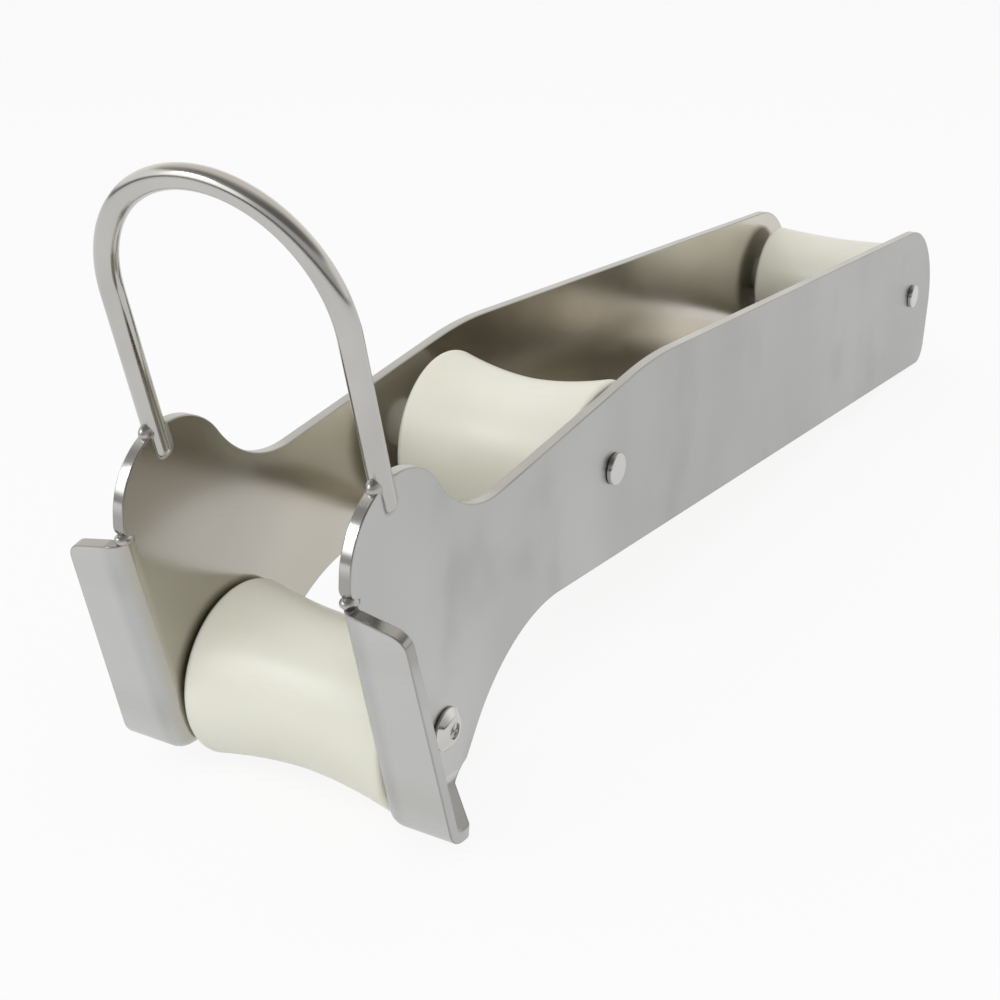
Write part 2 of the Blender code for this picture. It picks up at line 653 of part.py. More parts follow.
def clevis_pin(name, axle):
    """Flat-headed pin from port with a washer and a split pin at its starboard end."""
    seat = OUTER_FACE + SEAT_GAP
    top = seat + PIN_HEAD_HEIGHT
    leg_offset = SPLIT_WIRE_DIAMETER / 2 + SEAT_GAP / 3
    hole = 2 * leg_offset + SPLIT_WIRE_DIAMETER + 2 * SEAT_GAP
    hole_y = nut_seat() - hole / 2
    tail = hole_y - hole / 2 - PIN_TAIL
    shank = PIN_DIAMETER / 2
    head = PIN_HEAD_DIAMETER / 2
    corners = [(0, top, 0), (head, top, END_CHAMFER / 2), (head, seat, 0), (shank, seat, 0),
               (shank, tail, END_CHAMFER), (0, tail, 0)]
    pin = turned(name + "_clevis_pin", axle, rounded_line(corners), False, SMALL_TURN_STEPS, SATIN_STEEL)
    centre = axle + Vector((0, hole_y, 0))
    cut(pin, round_cutter(name + "_pin_hole", centre, hole, 2 * PIN_DIAMETER, Vector((0, 0, 1)),
                          PIN_HOLE_STEPS))
    ring(name + "_tail_washer", axle, -seat, -seat - WASHER_HEIGHT, PIN_DIAMETER + 2 * SEAT_GAP,
         WASHER_DIAMETER, PLAIN_STEEL)
    split_pin(name + "_split_pin", centre, leg_offset)


def split_pin(name, centre, leg_offset):
    """Bent wire with an eye above the clevis pin and two spread legs below it."""
    reach = PIN_DIAMETER / 2 + SPLIT_WIRE_DIAMETER
    spread = radians(SPLIT_LEG_SPREAD)
    foot_x = leg_offset + SPLIT_LEG_LENGTH * sin(spread)
    foot_z = -reach - SPLIT_LEG_LENGTH * cos(spread)
    closing = asin(leg_offset / SPLIT_EYE_RADIUS)
    eye_z = reach + SPLIT_EYE_RADIUS * cos(closing)
    places = [(-foot_x, 0, foot_z), (-leg_offset, 0, -reach)]
    for step in range(SPLIT_EYE_STEPS + 1):
        turn = closing + 2 * (pi - closing) * step / SPLIT_EYE_STEPS
        places.append((-SPLIT_EYE_RADIUS * sin(turn), 0, eye_z - SPLIT_EYE_RADIUS * cos(turn)))
    places += [(leg_offset, 0, -reach), (foot_x, 0, foot_z)]
    mesh = rod_solid(name, places, SPLIT_WIRE_DIAMETER, SPLIT_WIRE_FINENESS)
    part = add_object(name, mesh, PLAIN_STEEL)
    part.location = centre
    smooth(mesh)
    return part


def thrust_washer(name, axle, side, room):
    """Washer or spacer on the pin that fills the room between a roller's end and the cheek."""
    ring(name, axle, side * (HALF_CHANNEL - SEAT_GAP), side * (HALF_CHANNEL - room + SEAT_GAP),
         PIN_DIAMETER + 2 * SEAT_GAP, THRUST_WASHER_DIAMETER, WHITE_NYLON)


def build():
    across = Vector((0, 1, 0))
    aft_axle = Vector((0, 0, AFT_AXLE_Z))
    middle_axle = Vector((MIDDLE_AXLE_X, 0, MIDDLE_AXLE_Z))
    bow_axle = Vector((BOW_AXLE_X, 0, BOW_AXLE_Z))
    pin_hole = PIN_DIAMETER + 2 * SEAT_GAP
    bolt_hole = BOLT_DIAMETER + 2 * SEAT_GAP
    span = 2 * (OUTER_FACE + SHEET)
    cheek_cutters = [
        round_cutter("aft_axle_holes", aft_axle, pin_hole, span, across, SMALL_TURN_STEPS),
        round_cutter("middle_axle_holes", middle_axle, pin_hole, span, across, SMALL_TURN_STEPS),
        round_cutter("bow_axle_holes", bow_axle, bolt_hole, span, across, SMALL_TURN_STEPS),
        hoop_slot(),
    ]
    ear_space = round_cutter("ear_space", hoop_place(0, 0), 2 * (EAR_RADIUS + SEAT_GAP), span, across,
                             TURN_STEPS)
    for side_name, side in (("port", PORT), ("starboard", STARBOARD)):
        cheek_plate(side_name + "_cheek_plate", side, cheek_cutters)
        seam_weld(side_name + "_seam_weld", side)
        hoop_bead(side_name + "_hoop_weld", side, ear_space)
    base_plate()
    hoop()

    pin_bore = PIN_DIAMETER + 2 * RUNNING_GAP
    roller("bow_roller", bow_axle, BOW_ROLLER_ROOM, BOW_ROLLER_ROOM, BOW_ROLLER_END_RADIUS,
           BOW_ROLLER_WAIST_RADIUS, SLEEVE_DIAMETER + 2 * RUNNING_GAP)
    roller("middle_roller", middle_axle, MIDDLE_ROLLER_PORT_ROOM, MIDDLE_ROLLER_STARBOARD_ROOM,
           MIDDLE_ROLLER_END_RADIUS, MIDDLE_ROLLER_WAIST_RADIUS, pin_bore)
    roller("aft_roller", aft_axle, AFT_ROLLER_ROOM, AFT_ROLLER_ROOM, AFT_ROLLER_END_RADIUS,
           AFT_ROLLER_WAIST_RADIUS, pin_bore)

    bow_bolt(bow_axle)
    sleeve_end = HALF_CHANNEL - SEAT_GAP
    ring("bow_axle_sleeve", bow_axle, -sleeve_end, sleeve_end, bolt_hole, SLEEVE_DIAMETER, PLAIN_STEEL)
    washer_face = -OUTER_FACE - SEAT_GAP
    ring("bow_bolt_washer", bow_axle, washer_face, washer_face - WASHER_HEIGHT, bolt_hole, WASHER_DIAMETER,
         PLAIN_STEEL)
    bow_nut(bow_axle)
    clevis_pin("middle", middle_axle)
    thrust_washer("middle_spacer", middle_axle, STARBOARD, MIDDLE_ROLLER_STARBOARD_ROOM)
    clevis_pin("aft", aft_axle)
    for side_name, side in (("port", PORT), ("starboard", STARBOARD)):
        thrust_washer(f"aft_{side_name}_thrust_washer", aft_axle, side, AFT_ROLLER_ROOM)


build()
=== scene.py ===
"""Looks of the anchor bow roller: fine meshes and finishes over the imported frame.

Frame: +X towards the bow, +Y to port, +Z up, origin under the aft axle on the deck. All lengths are in
metres and all angles in degrees.
"""

import json
from math import acos, asin, ceil, cos, pi, radians, sin, sqrt, tan

import bmesh
import bpy
from mathutils import Matrix, Vector


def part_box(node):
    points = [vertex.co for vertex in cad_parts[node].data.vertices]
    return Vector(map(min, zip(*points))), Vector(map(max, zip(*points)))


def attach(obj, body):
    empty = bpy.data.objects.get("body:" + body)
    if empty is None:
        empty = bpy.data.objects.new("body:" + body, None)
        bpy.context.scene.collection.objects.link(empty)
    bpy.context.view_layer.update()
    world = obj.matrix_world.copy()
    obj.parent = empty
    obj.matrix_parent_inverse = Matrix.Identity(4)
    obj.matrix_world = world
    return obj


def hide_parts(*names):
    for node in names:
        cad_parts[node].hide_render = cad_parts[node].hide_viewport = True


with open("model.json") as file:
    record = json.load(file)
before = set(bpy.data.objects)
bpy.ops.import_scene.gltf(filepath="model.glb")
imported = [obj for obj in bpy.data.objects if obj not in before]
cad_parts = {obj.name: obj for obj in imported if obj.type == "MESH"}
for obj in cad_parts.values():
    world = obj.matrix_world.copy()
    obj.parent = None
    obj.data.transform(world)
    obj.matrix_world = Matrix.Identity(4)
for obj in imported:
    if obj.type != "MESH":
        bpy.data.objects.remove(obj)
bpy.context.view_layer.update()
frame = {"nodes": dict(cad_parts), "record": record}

# Sizes of the channel, as in the part's source
HALF_CHANNEL = 0.038
SHEET = 0.004
OUTER_FACE = HALF_CHANNEL + SHEET
EDGE_ROUND = 0.0004
REAR_REACH = 0.0341
REAR_HEIGHT = 0.0744
REAR_FOOT_RADIUS = 0.009
REAR_SHOULDER_RADIUS = 0.0445
STEP_X = 0.3108
STEP_HEIGHT = 0.0691
STEP_RADIUS = 0.180
STEP_FALL = 11.5
NOTCH_X = 0.439
NOTCH_RADIUS = 0.0388
EAR_RISE = 48.4
EAR_RADIUS = 0.0248
EAR_FRONT_X = 0.4976
EAR_FOOT_RADIUS = 0.004
BELLY_X = 0.4077
BELLY_RADIUS = 0.060
BELLY_FALL = 58.8
LIP_LEAD = 0.0018
LIP_TOP_DROP = 0.0093
LIP_LEAN = 19.7
LIP_WIDTH = 0.0202
LIP_TAPER = 0.0022
LIP_BOTTOM = 0.0445
LIP_BEND_RADIUS = 0.0065
LIP_CURL_RADIUS = 0.008
LIP_TOP_START = 0.0008
LIP_TOP_SLOPE = 0.2
LIP_CORNER_RADIUS = 0.006
TAB_REACH = 0.0035
TAB_CORNER_RADIUS = 0.0045
EAR_FOOT_RISE = 0.0008

# Hoop and its welds
HOOP_ROD_DIAMETER = 0.007
HOOP_LEAN = 20.2
HOOP_SEAT_DEPTH = 0.010
HOOP_LEG_LENGTH = 0.0555
HOOP_FOOT_ROUND = 0.0028
SEAT_GAP = 0.0003
BEAD_SIZE = (0.0040, 0.0024, 0.0030)
BEAD_INSET = 0.0012
RING_RADIUS = 0.0010
RING_INSET = 0.0009
WELD_VOXEL = 0.0003
CORNER_BEAD_SIZE = (0.0032, 0.0025, 0.0020)
CORNER_BEAD_AHEAD = 0.0018
CORNER_BEAD_Y = 0.0400
CORNER_BEAD_DROP = 0.0006

# Rollers: radii at the waist and at the ends; lengths come from the frame
WAIST_RADII = {"bow_roller": 0.0250, "middle_roller": 0.0252, "aft_roller": 0.0236}
END_RADII = {"bow_roller": 0.0297, "middle_roller": 0.0307, "aft_roller": 0.0254}
ROLLER_EDGE_RADIUS = 0.0020
WAIST_POWER = 1.8
BORE_CHAMFER = 0.0008
ROLLER_CLEARANCE = 0.0004
SLEEVE_DIAMETER = 0.012

# Bolt, nut and pins
SHANK_DIAMETER = 0.008
HEAD_DIAMETER = 0.014
HEAD_HEIGHT = 0.0030
HEAD_FLAT = 0.0080
HEAD_EDGE = 0.0008
HEAD_ROUND = 0.0050
SOCKET_WIDTH = 0.005
SOCKET_DEPTH = 0.0019
NUT_WIDTH = 0.013
NUT_HEIGHT = 0.0055
NUT_COLLAR_DIAMETER = 0.0118
INSERT_DIAMETER = 0.0102
INSERT_HEIGHT = 0.0016
PIN_HEAD_DIAMETER = 0.0115
PIN_HEAD_HEIGHT = 0.0018
PIN_HEAD_ROUND = 0.0006
END_CHAMFER = 0.0008
SPLIT_WIRE_DIAMETER = 0.0010
SPLIT_EYE_RADIUS = 0.0017
SPLIT_LEG_LENGTH = 0.0045
SPLIT_LEG_SPREAD = 35.0
RING_EDGE = 0.0002

# Fineness
ARC_ERROR = 0.000008
ARC_ROOM = 0.995
SMALLEST_TURN = 1
WELD_DISTANCE = 0.00001
TURN_STEPS = 160
SMALL_TURN_STEPS = 72
BEND_STEPS = 14
WAIST_STEPS = 48
HOOP_BOW_STEPS = 96
HOOP_SIDES = 14
RIPPLE_LENGTH = 0.0016
RIPPLE_STEPS = 6
RIPPLE_DEPTH = 0.10
FILLET_STEPS = 8
FILLET_HOLLOW = 0.14
HOLE_STEPS = 32
HEXAGON_SIDES = 6
RING_SIDES = 3
WIRE_SIDES = 6
FOOT_BEAD_STEPS = (32, 20)
CORNER_BEAD_STEPS = (40, 24)
EDGE_SEGMENTS = 3
EDGE_ANGLE = 40
FOOT_SEGMENTS = 6
SHARP_ANGLE = 60
SHEET_WEIGHT = 100
TURNED_WEIGHT = 50
WELD_SMOOTHING = 5

X_AXIS = (1, 0, 0)
Y_AXIS = (0, 1, 0)
Z_AXIS = (0, 0, 1)
PORT = 1
STARBOARD = -1
FRONT, REAR = 1, -1
EAR_CORNER_Z = (STEP_HEIGHT - tan(radians(STEP_FALL)) * (NOTCH_X - STEP_X)
                + tan(radians(EAR_RISE)) * (EAR_FRONT_X - NOTCH_X))
EAR_CENTRE = Vector((EAR_FRONT_X - EAR_RADIUS, 0,
                     EAR_CORNER_Z - EAR_RADIUS * tan(radians(90 + EAR_RISE) / 2)))
LIP_TOP_X = EAR_FRONT_X + LIP_LEAD
LIP_TOP_Z = EAR_CENTRE.z - LIP_TOP_DROP
HOOP_UP = Vector((sin(radians(HOOP_LEAN)), 0, cos(radians(HOOP_LEAN))))
HOOP_FORWARD = Vector((cos(radians(HOOP_LEAN)), 0, -sin(radians(HOOP_LEAN))))


def rounded_line(corners):
    """Points of an open line whose inner corners (a, b, radius) are rounded by true arcs."""
    places = [Vector(corner[:2]) for corner in corners]
    turns = [(here - before).angle(after - here)
             for before, here, after in zip(places, places[1:], places[2:])]
    turns = [0.0, *turns, 0.0]
    reaches = [corner[2] * tan(turn / 2) for corner, turn in zip(corners, turns)]
    fits = [1.0] * len(corners)
    for index in range(len(corners) - 1):
        length = (places[index + 1] - places[index]).length
        wanted = reaches[index] + reaches[index + 1]
        if wanted > ARC_ROOM * length:
            fits[index] = min(fits[index], ARC_ROOM * length / wanted)
            fits[index + 1] = min(fits[index + 1], ARC_ROOM * length / wanted)
    points = [places[0]]
    for index in range(1, len(corners) - 1):
        here, turn = places[index], turns[index]
        radius = corners[index][2] * fits[index]
        if radius < ARC_ERROR or turn < radians(SMALLEST_TURN):
            points.append(here)
            continue
        back = (places[index - 1] - here).normalized()
        ahead = (places[index + 1] - here).normalized()
        centre = here + (back + ahead).normalized() * radius / cos(turn / 2)
        start = here + back * radius * tan(turn / 2) - centre
        side = 1 if back.cross(ahead) < 0 else -1
        steps = max(2, ceil(turn / (2 * acos(1 - ARC_ERROR / radius))))
        for step in range(steps + 1):
            points.append(centre + Matrix.Rotation(side * turn * step / steps, 2) @ start)
    points.append(places[-1])
    return points


def add_piece(name, mesh, body, node, slot, *finishes):
    """Link a visual piece that stands for a node and rides on the node's body."""
    piece = bpy.data.objects.new(name, mesh)
    bpy.context.scene.collection.objects.link(piece)
    for finish in finishes:
        mesh.materials.append(finish)
    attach(piece, body)
    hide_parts(node)
    return piece


def add_guide(name, mesh):
    """Link a cutter, which isn't shown."""
    guide = bpy.data.objects.new(name, mesh)
    bpy.context.scene.collection.objects.link(guide)
    guide.hide_render = True
    guide.display_type = "WIRE"
    return guide


def mesh_from_curve(curve):
    guide = bpy.data.objects.new(curve.name, curve)
    bpy.context.scene.collection.objects.link(guide)
    mesh = bpy.data.meshes.new_from_object(guide.evaluated_get(bpy.context.evaluated_depsgraph_get()))
    bpy.data.objects.remove(guide, do_unlink=True)
    shape = bmesh.new()
    shape.from_mesh(mesh)
    bmesh.ops.remove_doubles(shape, verts=shape.verts, dist=WELD_DISTANCE)
    shape.to_mesh(mesh)
    shape.free()
    return mesh


def cut(piece, cutter):
    modifier = piece.modifiers.new("cut " + cutter.name, "BOOLEAN")
    modifier.operation = "DIFFERENCE"
    modifier.solver = "EXACT"
    modifier.object = cutter


def round_cutter(name, place, diameter, length, direction, steps):
    mesh = bpy.data.meshes.new(name)
    shape = bmesh.new()
    bmesh.ops.create_cone(shape, cap_ends=True, segments=steps, radius1=diameter / 2,
                          radius2=diameter / 2, depth=length)
    shape.to_mesh(mesh)
    shape.free()
    cutter = add_guide(name, mesh)
    cutter.location = place
    cutter.rotation_mode = "QUATERNION"
    cutter.rotation_quaternion = Vector(Z_AXIS).rotation_difference(direction)
    return cutter


def lip_rows():
    """Points of the lip's face line with its outward directions, from the top down to the tab."""
    lean = radians(LIP_LEAN)
    top = Vector((LIP_TOP_X, LIP_TOP_Z))
    down = Vector((-sin(lean), -cos(lean)))
    front = Vector((cos(lean), -sin(lean)))
    fall = (LIP_TOP_Z + LIP_BOTTOM - LIP_CURL_RADIUS * (1 - sin(lean))) / cos(lean)
    centre = top + down * fall - front * LIP_CURL_RADIUS
    rows = [(top + down * LIP_TOP_START, front)]
    for step in range(BEND_STEPS + 1):
        swing = lean + (pi / 2 - lean) * step / BEND_STEPS
        outward = Vector((cos(swing), -sin(swing)))
        rows.append((centre + outward * LIP_CURL_RADIUS, outward))
    return rows


def cheek_corners(bend_top, bend_end):
    """Corners of the flat part of the cheek; a bead closes the slot between the ear's foot and the lip."""
    notch_z = STEP_HEIGHT - tan(radians(STEP_FALL)) * (NOTCH_X - STEP_X)
    return [
        (bend_top.x, bend_top.y, 0),
        (bend_top.x, bend_top.y + EAR_FOOT_RISE, 0),
        (EAR_FRONT_X, bend_top.y + EAR_FOOT_RISE, EAR_FOOT_RADIUS),
        (EAR_FRONT_X, EAR_CORNER_Z, EAR_RADIUS),
        (NOTCH_X, notch_z, NOTCH_RADIUS),
        (STEP_X, STEP_HEIGHT, STEP_RADIUS),
        (-REAR_REACH, REAR_HEIGHT, REAR_SHOULDER_RADIUS),
        (-REAR_REACH, 0, REAR_FOOT_RADIUS),
        (BELLY_X, 0, BELLY_RADIUS),
        (bend_end.x, bend_end.y, 0),
    ]


def cheek_sheet(name, side):
    """Open sheet through the inner face of a cheek, its bend, its lip, the curl and the tab."""
    rows = lip_rows()
    bend_length = LIP_BEND_RADIUS * pi / 2
    flat_width = LIP_WIDTH + SHEET - LIP_BEND_RADIUS
    web_z = LIP_BEND_RADIUS - LIP_BOTTOM
    web_end = Vector((BELLY_X - web_z / tan(radians(BELLY_FALL)), web_z))
    tab_end_x = rows[-1][0].x - TAB_REACH
    slant = (tab_end_x - web_end.x) / (bend_length + flat_width)
    bend_y = HALF_CHANNEL + LIP_BEND_RADIUS
    outer_y = OUTER_FACE + LIP_WIDTH

    shape = bmesh.new()

    def add(x, y, z):
        return shape.verts.new((x, side * y, z))

    bend = []
    for point, outward in rows:
        turns = [pi / 2 * step / BEND_STEPS for step in range(BEND_STEPS + 1)]
        places = [(point - outward * LIP_BEND_RADIUS * (1 - sin(turn)), turn) for turn in turns]
        bend.append([add(place.x, bend_y - LIP_BEND_RADIUS * cos(turn), place.y) for place, turn in places])
    bend.append([])
    for step in range(BEND_STEPS + 1):
        turn = pi / 2 * step / BEND_STEPS
        x = web_end.x + slant * bend_length * step / BEND_STEPS
        z = LIP_BEND_RADIUS * (1 - sin(turn)) - LIP_BOTTOM
        bend[-1].append(add(x, bend_y - LIP_BEND_RADIUS * cos(turn), z))
    for upper, lower in zip(bend, bend[1:]):
        for step in range(BEND_STEPS):
            shape.faces.new((upper[step], lower[step], lower[step + 1], upper[step + 1]))

    bend_top = Vector((bend[0][0].co.x, bend[0][0].co.z))
    outline = rounded_line(cheek_corners(bend_top, web_end))
    web = [add(point.x, HALF_CHANNEL, point.y) for point in outline[1:-1]]
    shape.faces.new([bend[0][0], *web, *[row[0] for row in reversed(bend[1:])]])

    down = (rows[1][0] - rows[0][0]).normalized()
    face_length = (rows[1][0] - rows[0][0]).length
    lip_corners = [(0, 0, 0), (flat_width - LIP_TAPER, LIP_TOP_SLOPE * flat_width, LIP_CORNER_RADIUS),
                   (flat_width, face_length, 0)]
    lip = []
    for out, fall in rounded_line(lip_corners)[1:]:
        place = rows[0][0] + down * fall
        lip.append(add(place.x, bend_y + out, place.y))
    shape.faces.new([bend[0][-1], bend[1][-1], *reversed(lip)])

    edge = [lip[-1]]
    for row, (point, outward) in zip(bend[2:-1], rows[2:]):
        edge.append(add(point.x, outer_y, point.y))
    for step in range(BEND_STEPS):
        shape.faces.new((bend[step + 1][-1], bend[step + 2][-1], edge[step + 1], edge[step]))

    inner = bend[-1][-1].co.x
    tab_corners = [(0, inner, 0), (flat_width, tab_end_x, TAB_CORNER_RADIUS), (flat_width, rows[-1][0].x, 0)]
    tab = [add(x, bend_y + out, -LIP_BOTTOM) for out, x in rounded_line(tab_corners)[1:-1]]
    shape.faces.new([bend[-2][-1], bend[-1][-1], *tab, edge[-1]])

    if side == STARBOARD:
        bmesh.ops.reverse_faces(shape, faces=shape.faces)
    mesh = bpy.data.meshes.new(name)
    shape.to_mesh(mesh)
    shape.free()
    mesh.shade_smooth()
    return mesh


def cheek(side_name, side, cutters):
    """Cheek plate with fine curves, smooth bends, polished edges and a fine line of painted shade on the
    rounded strips beside them.
    """
    piece = add_piece(side_name + "_cheek", cheek_sheet(side_name + "_cheek", side), "frame",
                      side_name + "_cheek_plate", "satin_stainless", SATIN, EDGES, ROUNDING_SHADE)
    thickness = piece.modifiers.new("sheet", "SOLIDIFY")
    thickness.thickness = SHEET
    thickness.offset = -1
    thickness.use_even_offset = True
    thickness.material_offset_rim = 1
    rounding = piece.modifiers.new("rounded edges", "BEVEL")
    rounding.width = EDGE_ROUND
    rounding.segments = EDGE_SEGMENTS
    rounding.limit_method = "ANGLE"
    rounding.angle_limit = radians(EDGE_ANGLE)
    # The rounded strips take the third finish: the same steel painted darker, a painted shade
    rounding.material = 2
    rounding.use_clamp_overlap = False
    rounding.loop_slide = False
    for cutter in cutters:
        cut(piece, cutter)
    weight_normals(piece, SHEET_WEIGHT)
    return piece


def hoop_place(height, y):
    return EAR_CENTRE + HOOP_UP * height + Vector((0, y, 0))


def tube(name, places, radius, sides):
    """Mesh of a round rod along the given places, with closed ends."""
    curve = bpy.data.curves.new(name, "CURVE")
    curve.dimensions = "3D"
    curve.bevel_depth = radius
    curve.bevel_resolution = sides
    curve.use_fill_caps = True
    spline = curve.splines.new("POLY")
    spline.points.add(len(places) - 1)
    for point, place in zip(spline.points, places):
        point.co = (*place, 1)
    mesh = mesh_from_curve(curve)
    mesh.shade_smooth()
    return mesh


def hoop():
    """Round rod bent to a U, with rounded feet, standing in the ears."""
    foot = EAR_RADIUS - HOOP_SEAT_DEPTH
    shoulder = foot + HOOP_LEG_LENGTH
    reach = HALF_CHANNEL + SHEET / 2
    places = [hoop_place(foot, reach)]
    for step in range(HOOP_BOW_STEPS + 1):
        turn = pi * step / HOOP_BOW_STEPS
        places.append(hoop_place(shoulder + reach * sin(turn), reach * cos(turn)))
    places.append(hoop_place(foot, -reach))
    mesh = tube("guard_hoop", places, HOOP_ROD_DIAMETER / 2, HOOP_SIDES)
    piece = add_piece("guard_hoop", mesh, "frame", "hoop", "polished_stainless", HOOP_STEEL)
    rounding = piece.modifiers.new("rounded feet", "BEVEL")
    rounding.width = HOOP_FOOT_ROUND
    rounding.segments = FOOT_SEGMENTS
    rounding.limit_method = "ANGLE"
    rounding.angle_limit = radians(SHARP_ANGLE)
    rounding.use_clamp_overlap = False
    return piece


def slot_outline(grow, top, start):
    """Points round the slot for a leg, grown a little, from the FRONT or REAR top round the foot."""
    half = start * (HOOP_ROD_DIAMETER / 2 + grow)
    corner = HOOP_FOOT_ROUND + grow
    return rounded_line([(half, top, 0), (half, -grow, corner), (-half, -grow, corner), (-half, top, 0)])


def hoop_slot():
    """Cutter for the slots of both legs, open at the top."""
    curve = bpy.data.curves.new("hoop_slot", "CURVE")
    curve.dimensions = "2D"
    curve.fill_mode = "BOTH"
    curve.extrude = OUTER_FACE + SHEET
    spline = curve.splines.new("POLY")
    outline = slot_outline(SEAT_GAP, HOOP_SEAT_DEPTH + EAR_RADIUS, REAR)
    spline.points.add(len(outline) - 1)
    for point, place in zip(spline.points, outline):
        point.co = (place.x, place.y, 0, 1)
    spline.use_cyclic_u = True
    cutter = add_guide("hoop_slot", mesh_from_curve(curve))
    turn = Matrix((HOOP_FORWARD, HOOP_UP, HOOP_FORWARD.cross(HOOP_UP))).transposed().to_4x4()
    cutter.matrix_world = Matrix.Translation(hoop_place(EAR_RADIUS - HOOP_SEAT_DEPTH, 0)) @ turn
    return cutter


def hoop_weld(side_name, side):
    """Weld of one leg: a bead in front of it and a low ring round its foot on both faces of the ear."""
    foot = hoop_place(EAR_RADIUS - HOOP_SEAT_DEPTH, 0)
    shape = bmesh.new()
    for y in (OUTER_FACE - RING_INSET, HALF_CHANNEL + RING_INSET):
        places = [foot + HOOP_FORWARD * point.x + HOOP_UP * point.y + Vector((0, side * y, 0))
                  for point in slot_outline(SEAT_GAP / 2, HOOP_SEAT_DEPTH, FRONT)]
        shape.from_mesh(tube(side_name + "_ring", places, RING_RADIUS, RING_SIDES))
    middle = hoop_place(EAR_RADIUS, side * (HALF_CHANNEL + SHEET / 2))
    place = Matrix.Translation(middle + HOOP_FORWARD * (HOOP_ROD_DIAMETER / 2 - BEAD_INSET))
    turn = Matrix.Rotation(radians(HOOP_LEAN), 4, "Y")
    around, upright = FOOT_BEAD_STEPS
    bmesh.ops.create_uvsphere(shape, u_segments=around, v_segments=upright, radius=1,
                              matrix=place @ turn @ Matrix.Diagonal((*BEAD_SIZE, 1)))
    mesh = bpy.data.meshes.new(side_name + "_foot_weld")
    shape.to_mesh(mesh)
    shape.free()
    piece = add_piece(side_name + "_foot_weld", mesh, "frame", side_name + "_hoop_weld", "polished_stainless",
                      FOOT_STEEL)
    joined = piece.modifiers.new("one bead", "REMESH")
    joined.voxel_size = WELD_VOXEL
    joined.use_smooth_shade = True
    soft = piece.modifiers.new("flowed", "SMOOTH")
    soft.iterations = WELD_SMOOTHING
    return piece


def corner_bead(side_name, side):
    """Small weld, in the satin steel of the hoop's foot welds, that closes the corner between the ear's foot
    and the lip.
    """
    lean = radians(LIP_LEAN)
    top = Vector((LIP_TOP_X - LIP_BEND_RADIUS * cos(lean), 0, LIP_TOP_Z + LIP_BEND_RADIUS * sin(lean)))
    place = Matrix.Translation(top + Vector((CORNER_BEAD_AHEAD, side * CORNER_BEAD_Y, -CORNER_BEAD_DROP)))
    shape = bmesh.new()
    around, upright = CORNER_BEAD_STEPS
    bmesh.ops.create_uvsphere(shape, u_segments=around, v_segments=upright, radius=1,
                              matrix=place @ Matrix.Diagonal((*CORNER_BEAD_SIZE, 1)))
    mesh = bpy.data.meshes.new(side_name + "_corner_bead")
    shape.to_mesh(mesh)
    shape.free()
    mesh.shade_smooth()
    piece = bpy.data.objects.new(side_name + "_corner_bead", mesh)
    bpy.context.scene.collection.objects.link(piece)
    mesh.materials.append(FOOT_STEEL)
    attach(piece, "frame")
    return piece


def seam_weld(side_name, side):
    """Rippled fillet bead along the base plate, within its node's box."""
    low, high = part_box(side_name + "_seam_weld")
    height = high.z - low.z
    wall = high.y if side == PORT else low.y
    count = round((high.x - low.x) / RIPPLE_LENGTH) * RIPPLE_STEPS
    shape = bmesh.new()
    rows = []
    for step in range(count + 1):
        x = low.x + (high.x - low.x) * step / count
        ripple = 1 - RIPPLE_DEPTH + RIPPLE_DEPTH * abs(cos(pi * step / RIPPLE_STEPS))
        row = [shape.verts.new((x, wall, low.z))]
        for turn in range(FILLET_STEPS + 1):
            angle = pi / 2 * turn / FILLET_STEPS
            reach = height * ripple * (1 - FILLET_HOLLOW * sin(2 * angle))
            row.append(shape.verts.new((x, wall - side * reach * cos(angle), low.z + reach * sin(angle))))
        rows.append(row)
    sides = len(rows[0])
    for before, after in zip(rows, rows[1:]):
        for index in range(sides):
            following = (index + 1) % sides
            shape.faces.new((before[index], before[following], after[following], after[index]))
    shape.faces.new(list(reversed(rows[0])))
    shape.faces.new(rows[-1])
    bmesh.ops.recalc_face_normals(shape, faces=shape.faces)
    mesh = bpy.data.meshes.new(side_name + "_seam_bead")
    shape.to_mesh(mesh)
    shape.free()
    mesh.shade_smooth()
    mesh.set_sharp_from_angle(angle=radians(SHARP_ANGLE))
    return add_piece(side_name + "_seam_bead", mesh, "frame", side_name + "_seam_weld", "weld_bead", BEAD)


def node_centre(node):
    low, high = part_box(node)
    return (low + high) / 2


def axle_of(node):
    """Point on the centreline of the part where a node's axle crosses it."""
    centre = node_centre(node)
    return Vector((centre.x, 0, centre.z))


def weight_normals(piece, weight):
    normals = piece.modifiers.new("even shading", "WEIGHTED_NORMAL")
    normals.weight = weight
    return normals


def turned(name, body, node, slot, finish, profile, bored, steps):
    """Turn a profile of (radius, distance along the axle) points about the node's axle."""
    mesh = bpy.data.meshes.new(name)
    edges = [(index, index + 1) for index in range(len(profile) - 1)]
    if bored:
        edges.append((len(profile) - 1, 0))
    mesh.from_pydata([(radius, 0, height) for radius, height in profile], edges, [])
    piece = add_piece(name, mesh, body, node, slot, finish)
    lathe = piece.modifiers.new("turned", "SCREW")
    lathe.axis = "Z"
    lathe.steps = steps
    lathe.render_steps = steps
    lathe.use_merge_vertices = True
    lathe.merge_threshold = WELD_DISTANCE
    piece.rotation_euler = (-pi / 2, 0, 0)
    piece.location = axle_of(node)
    return piece


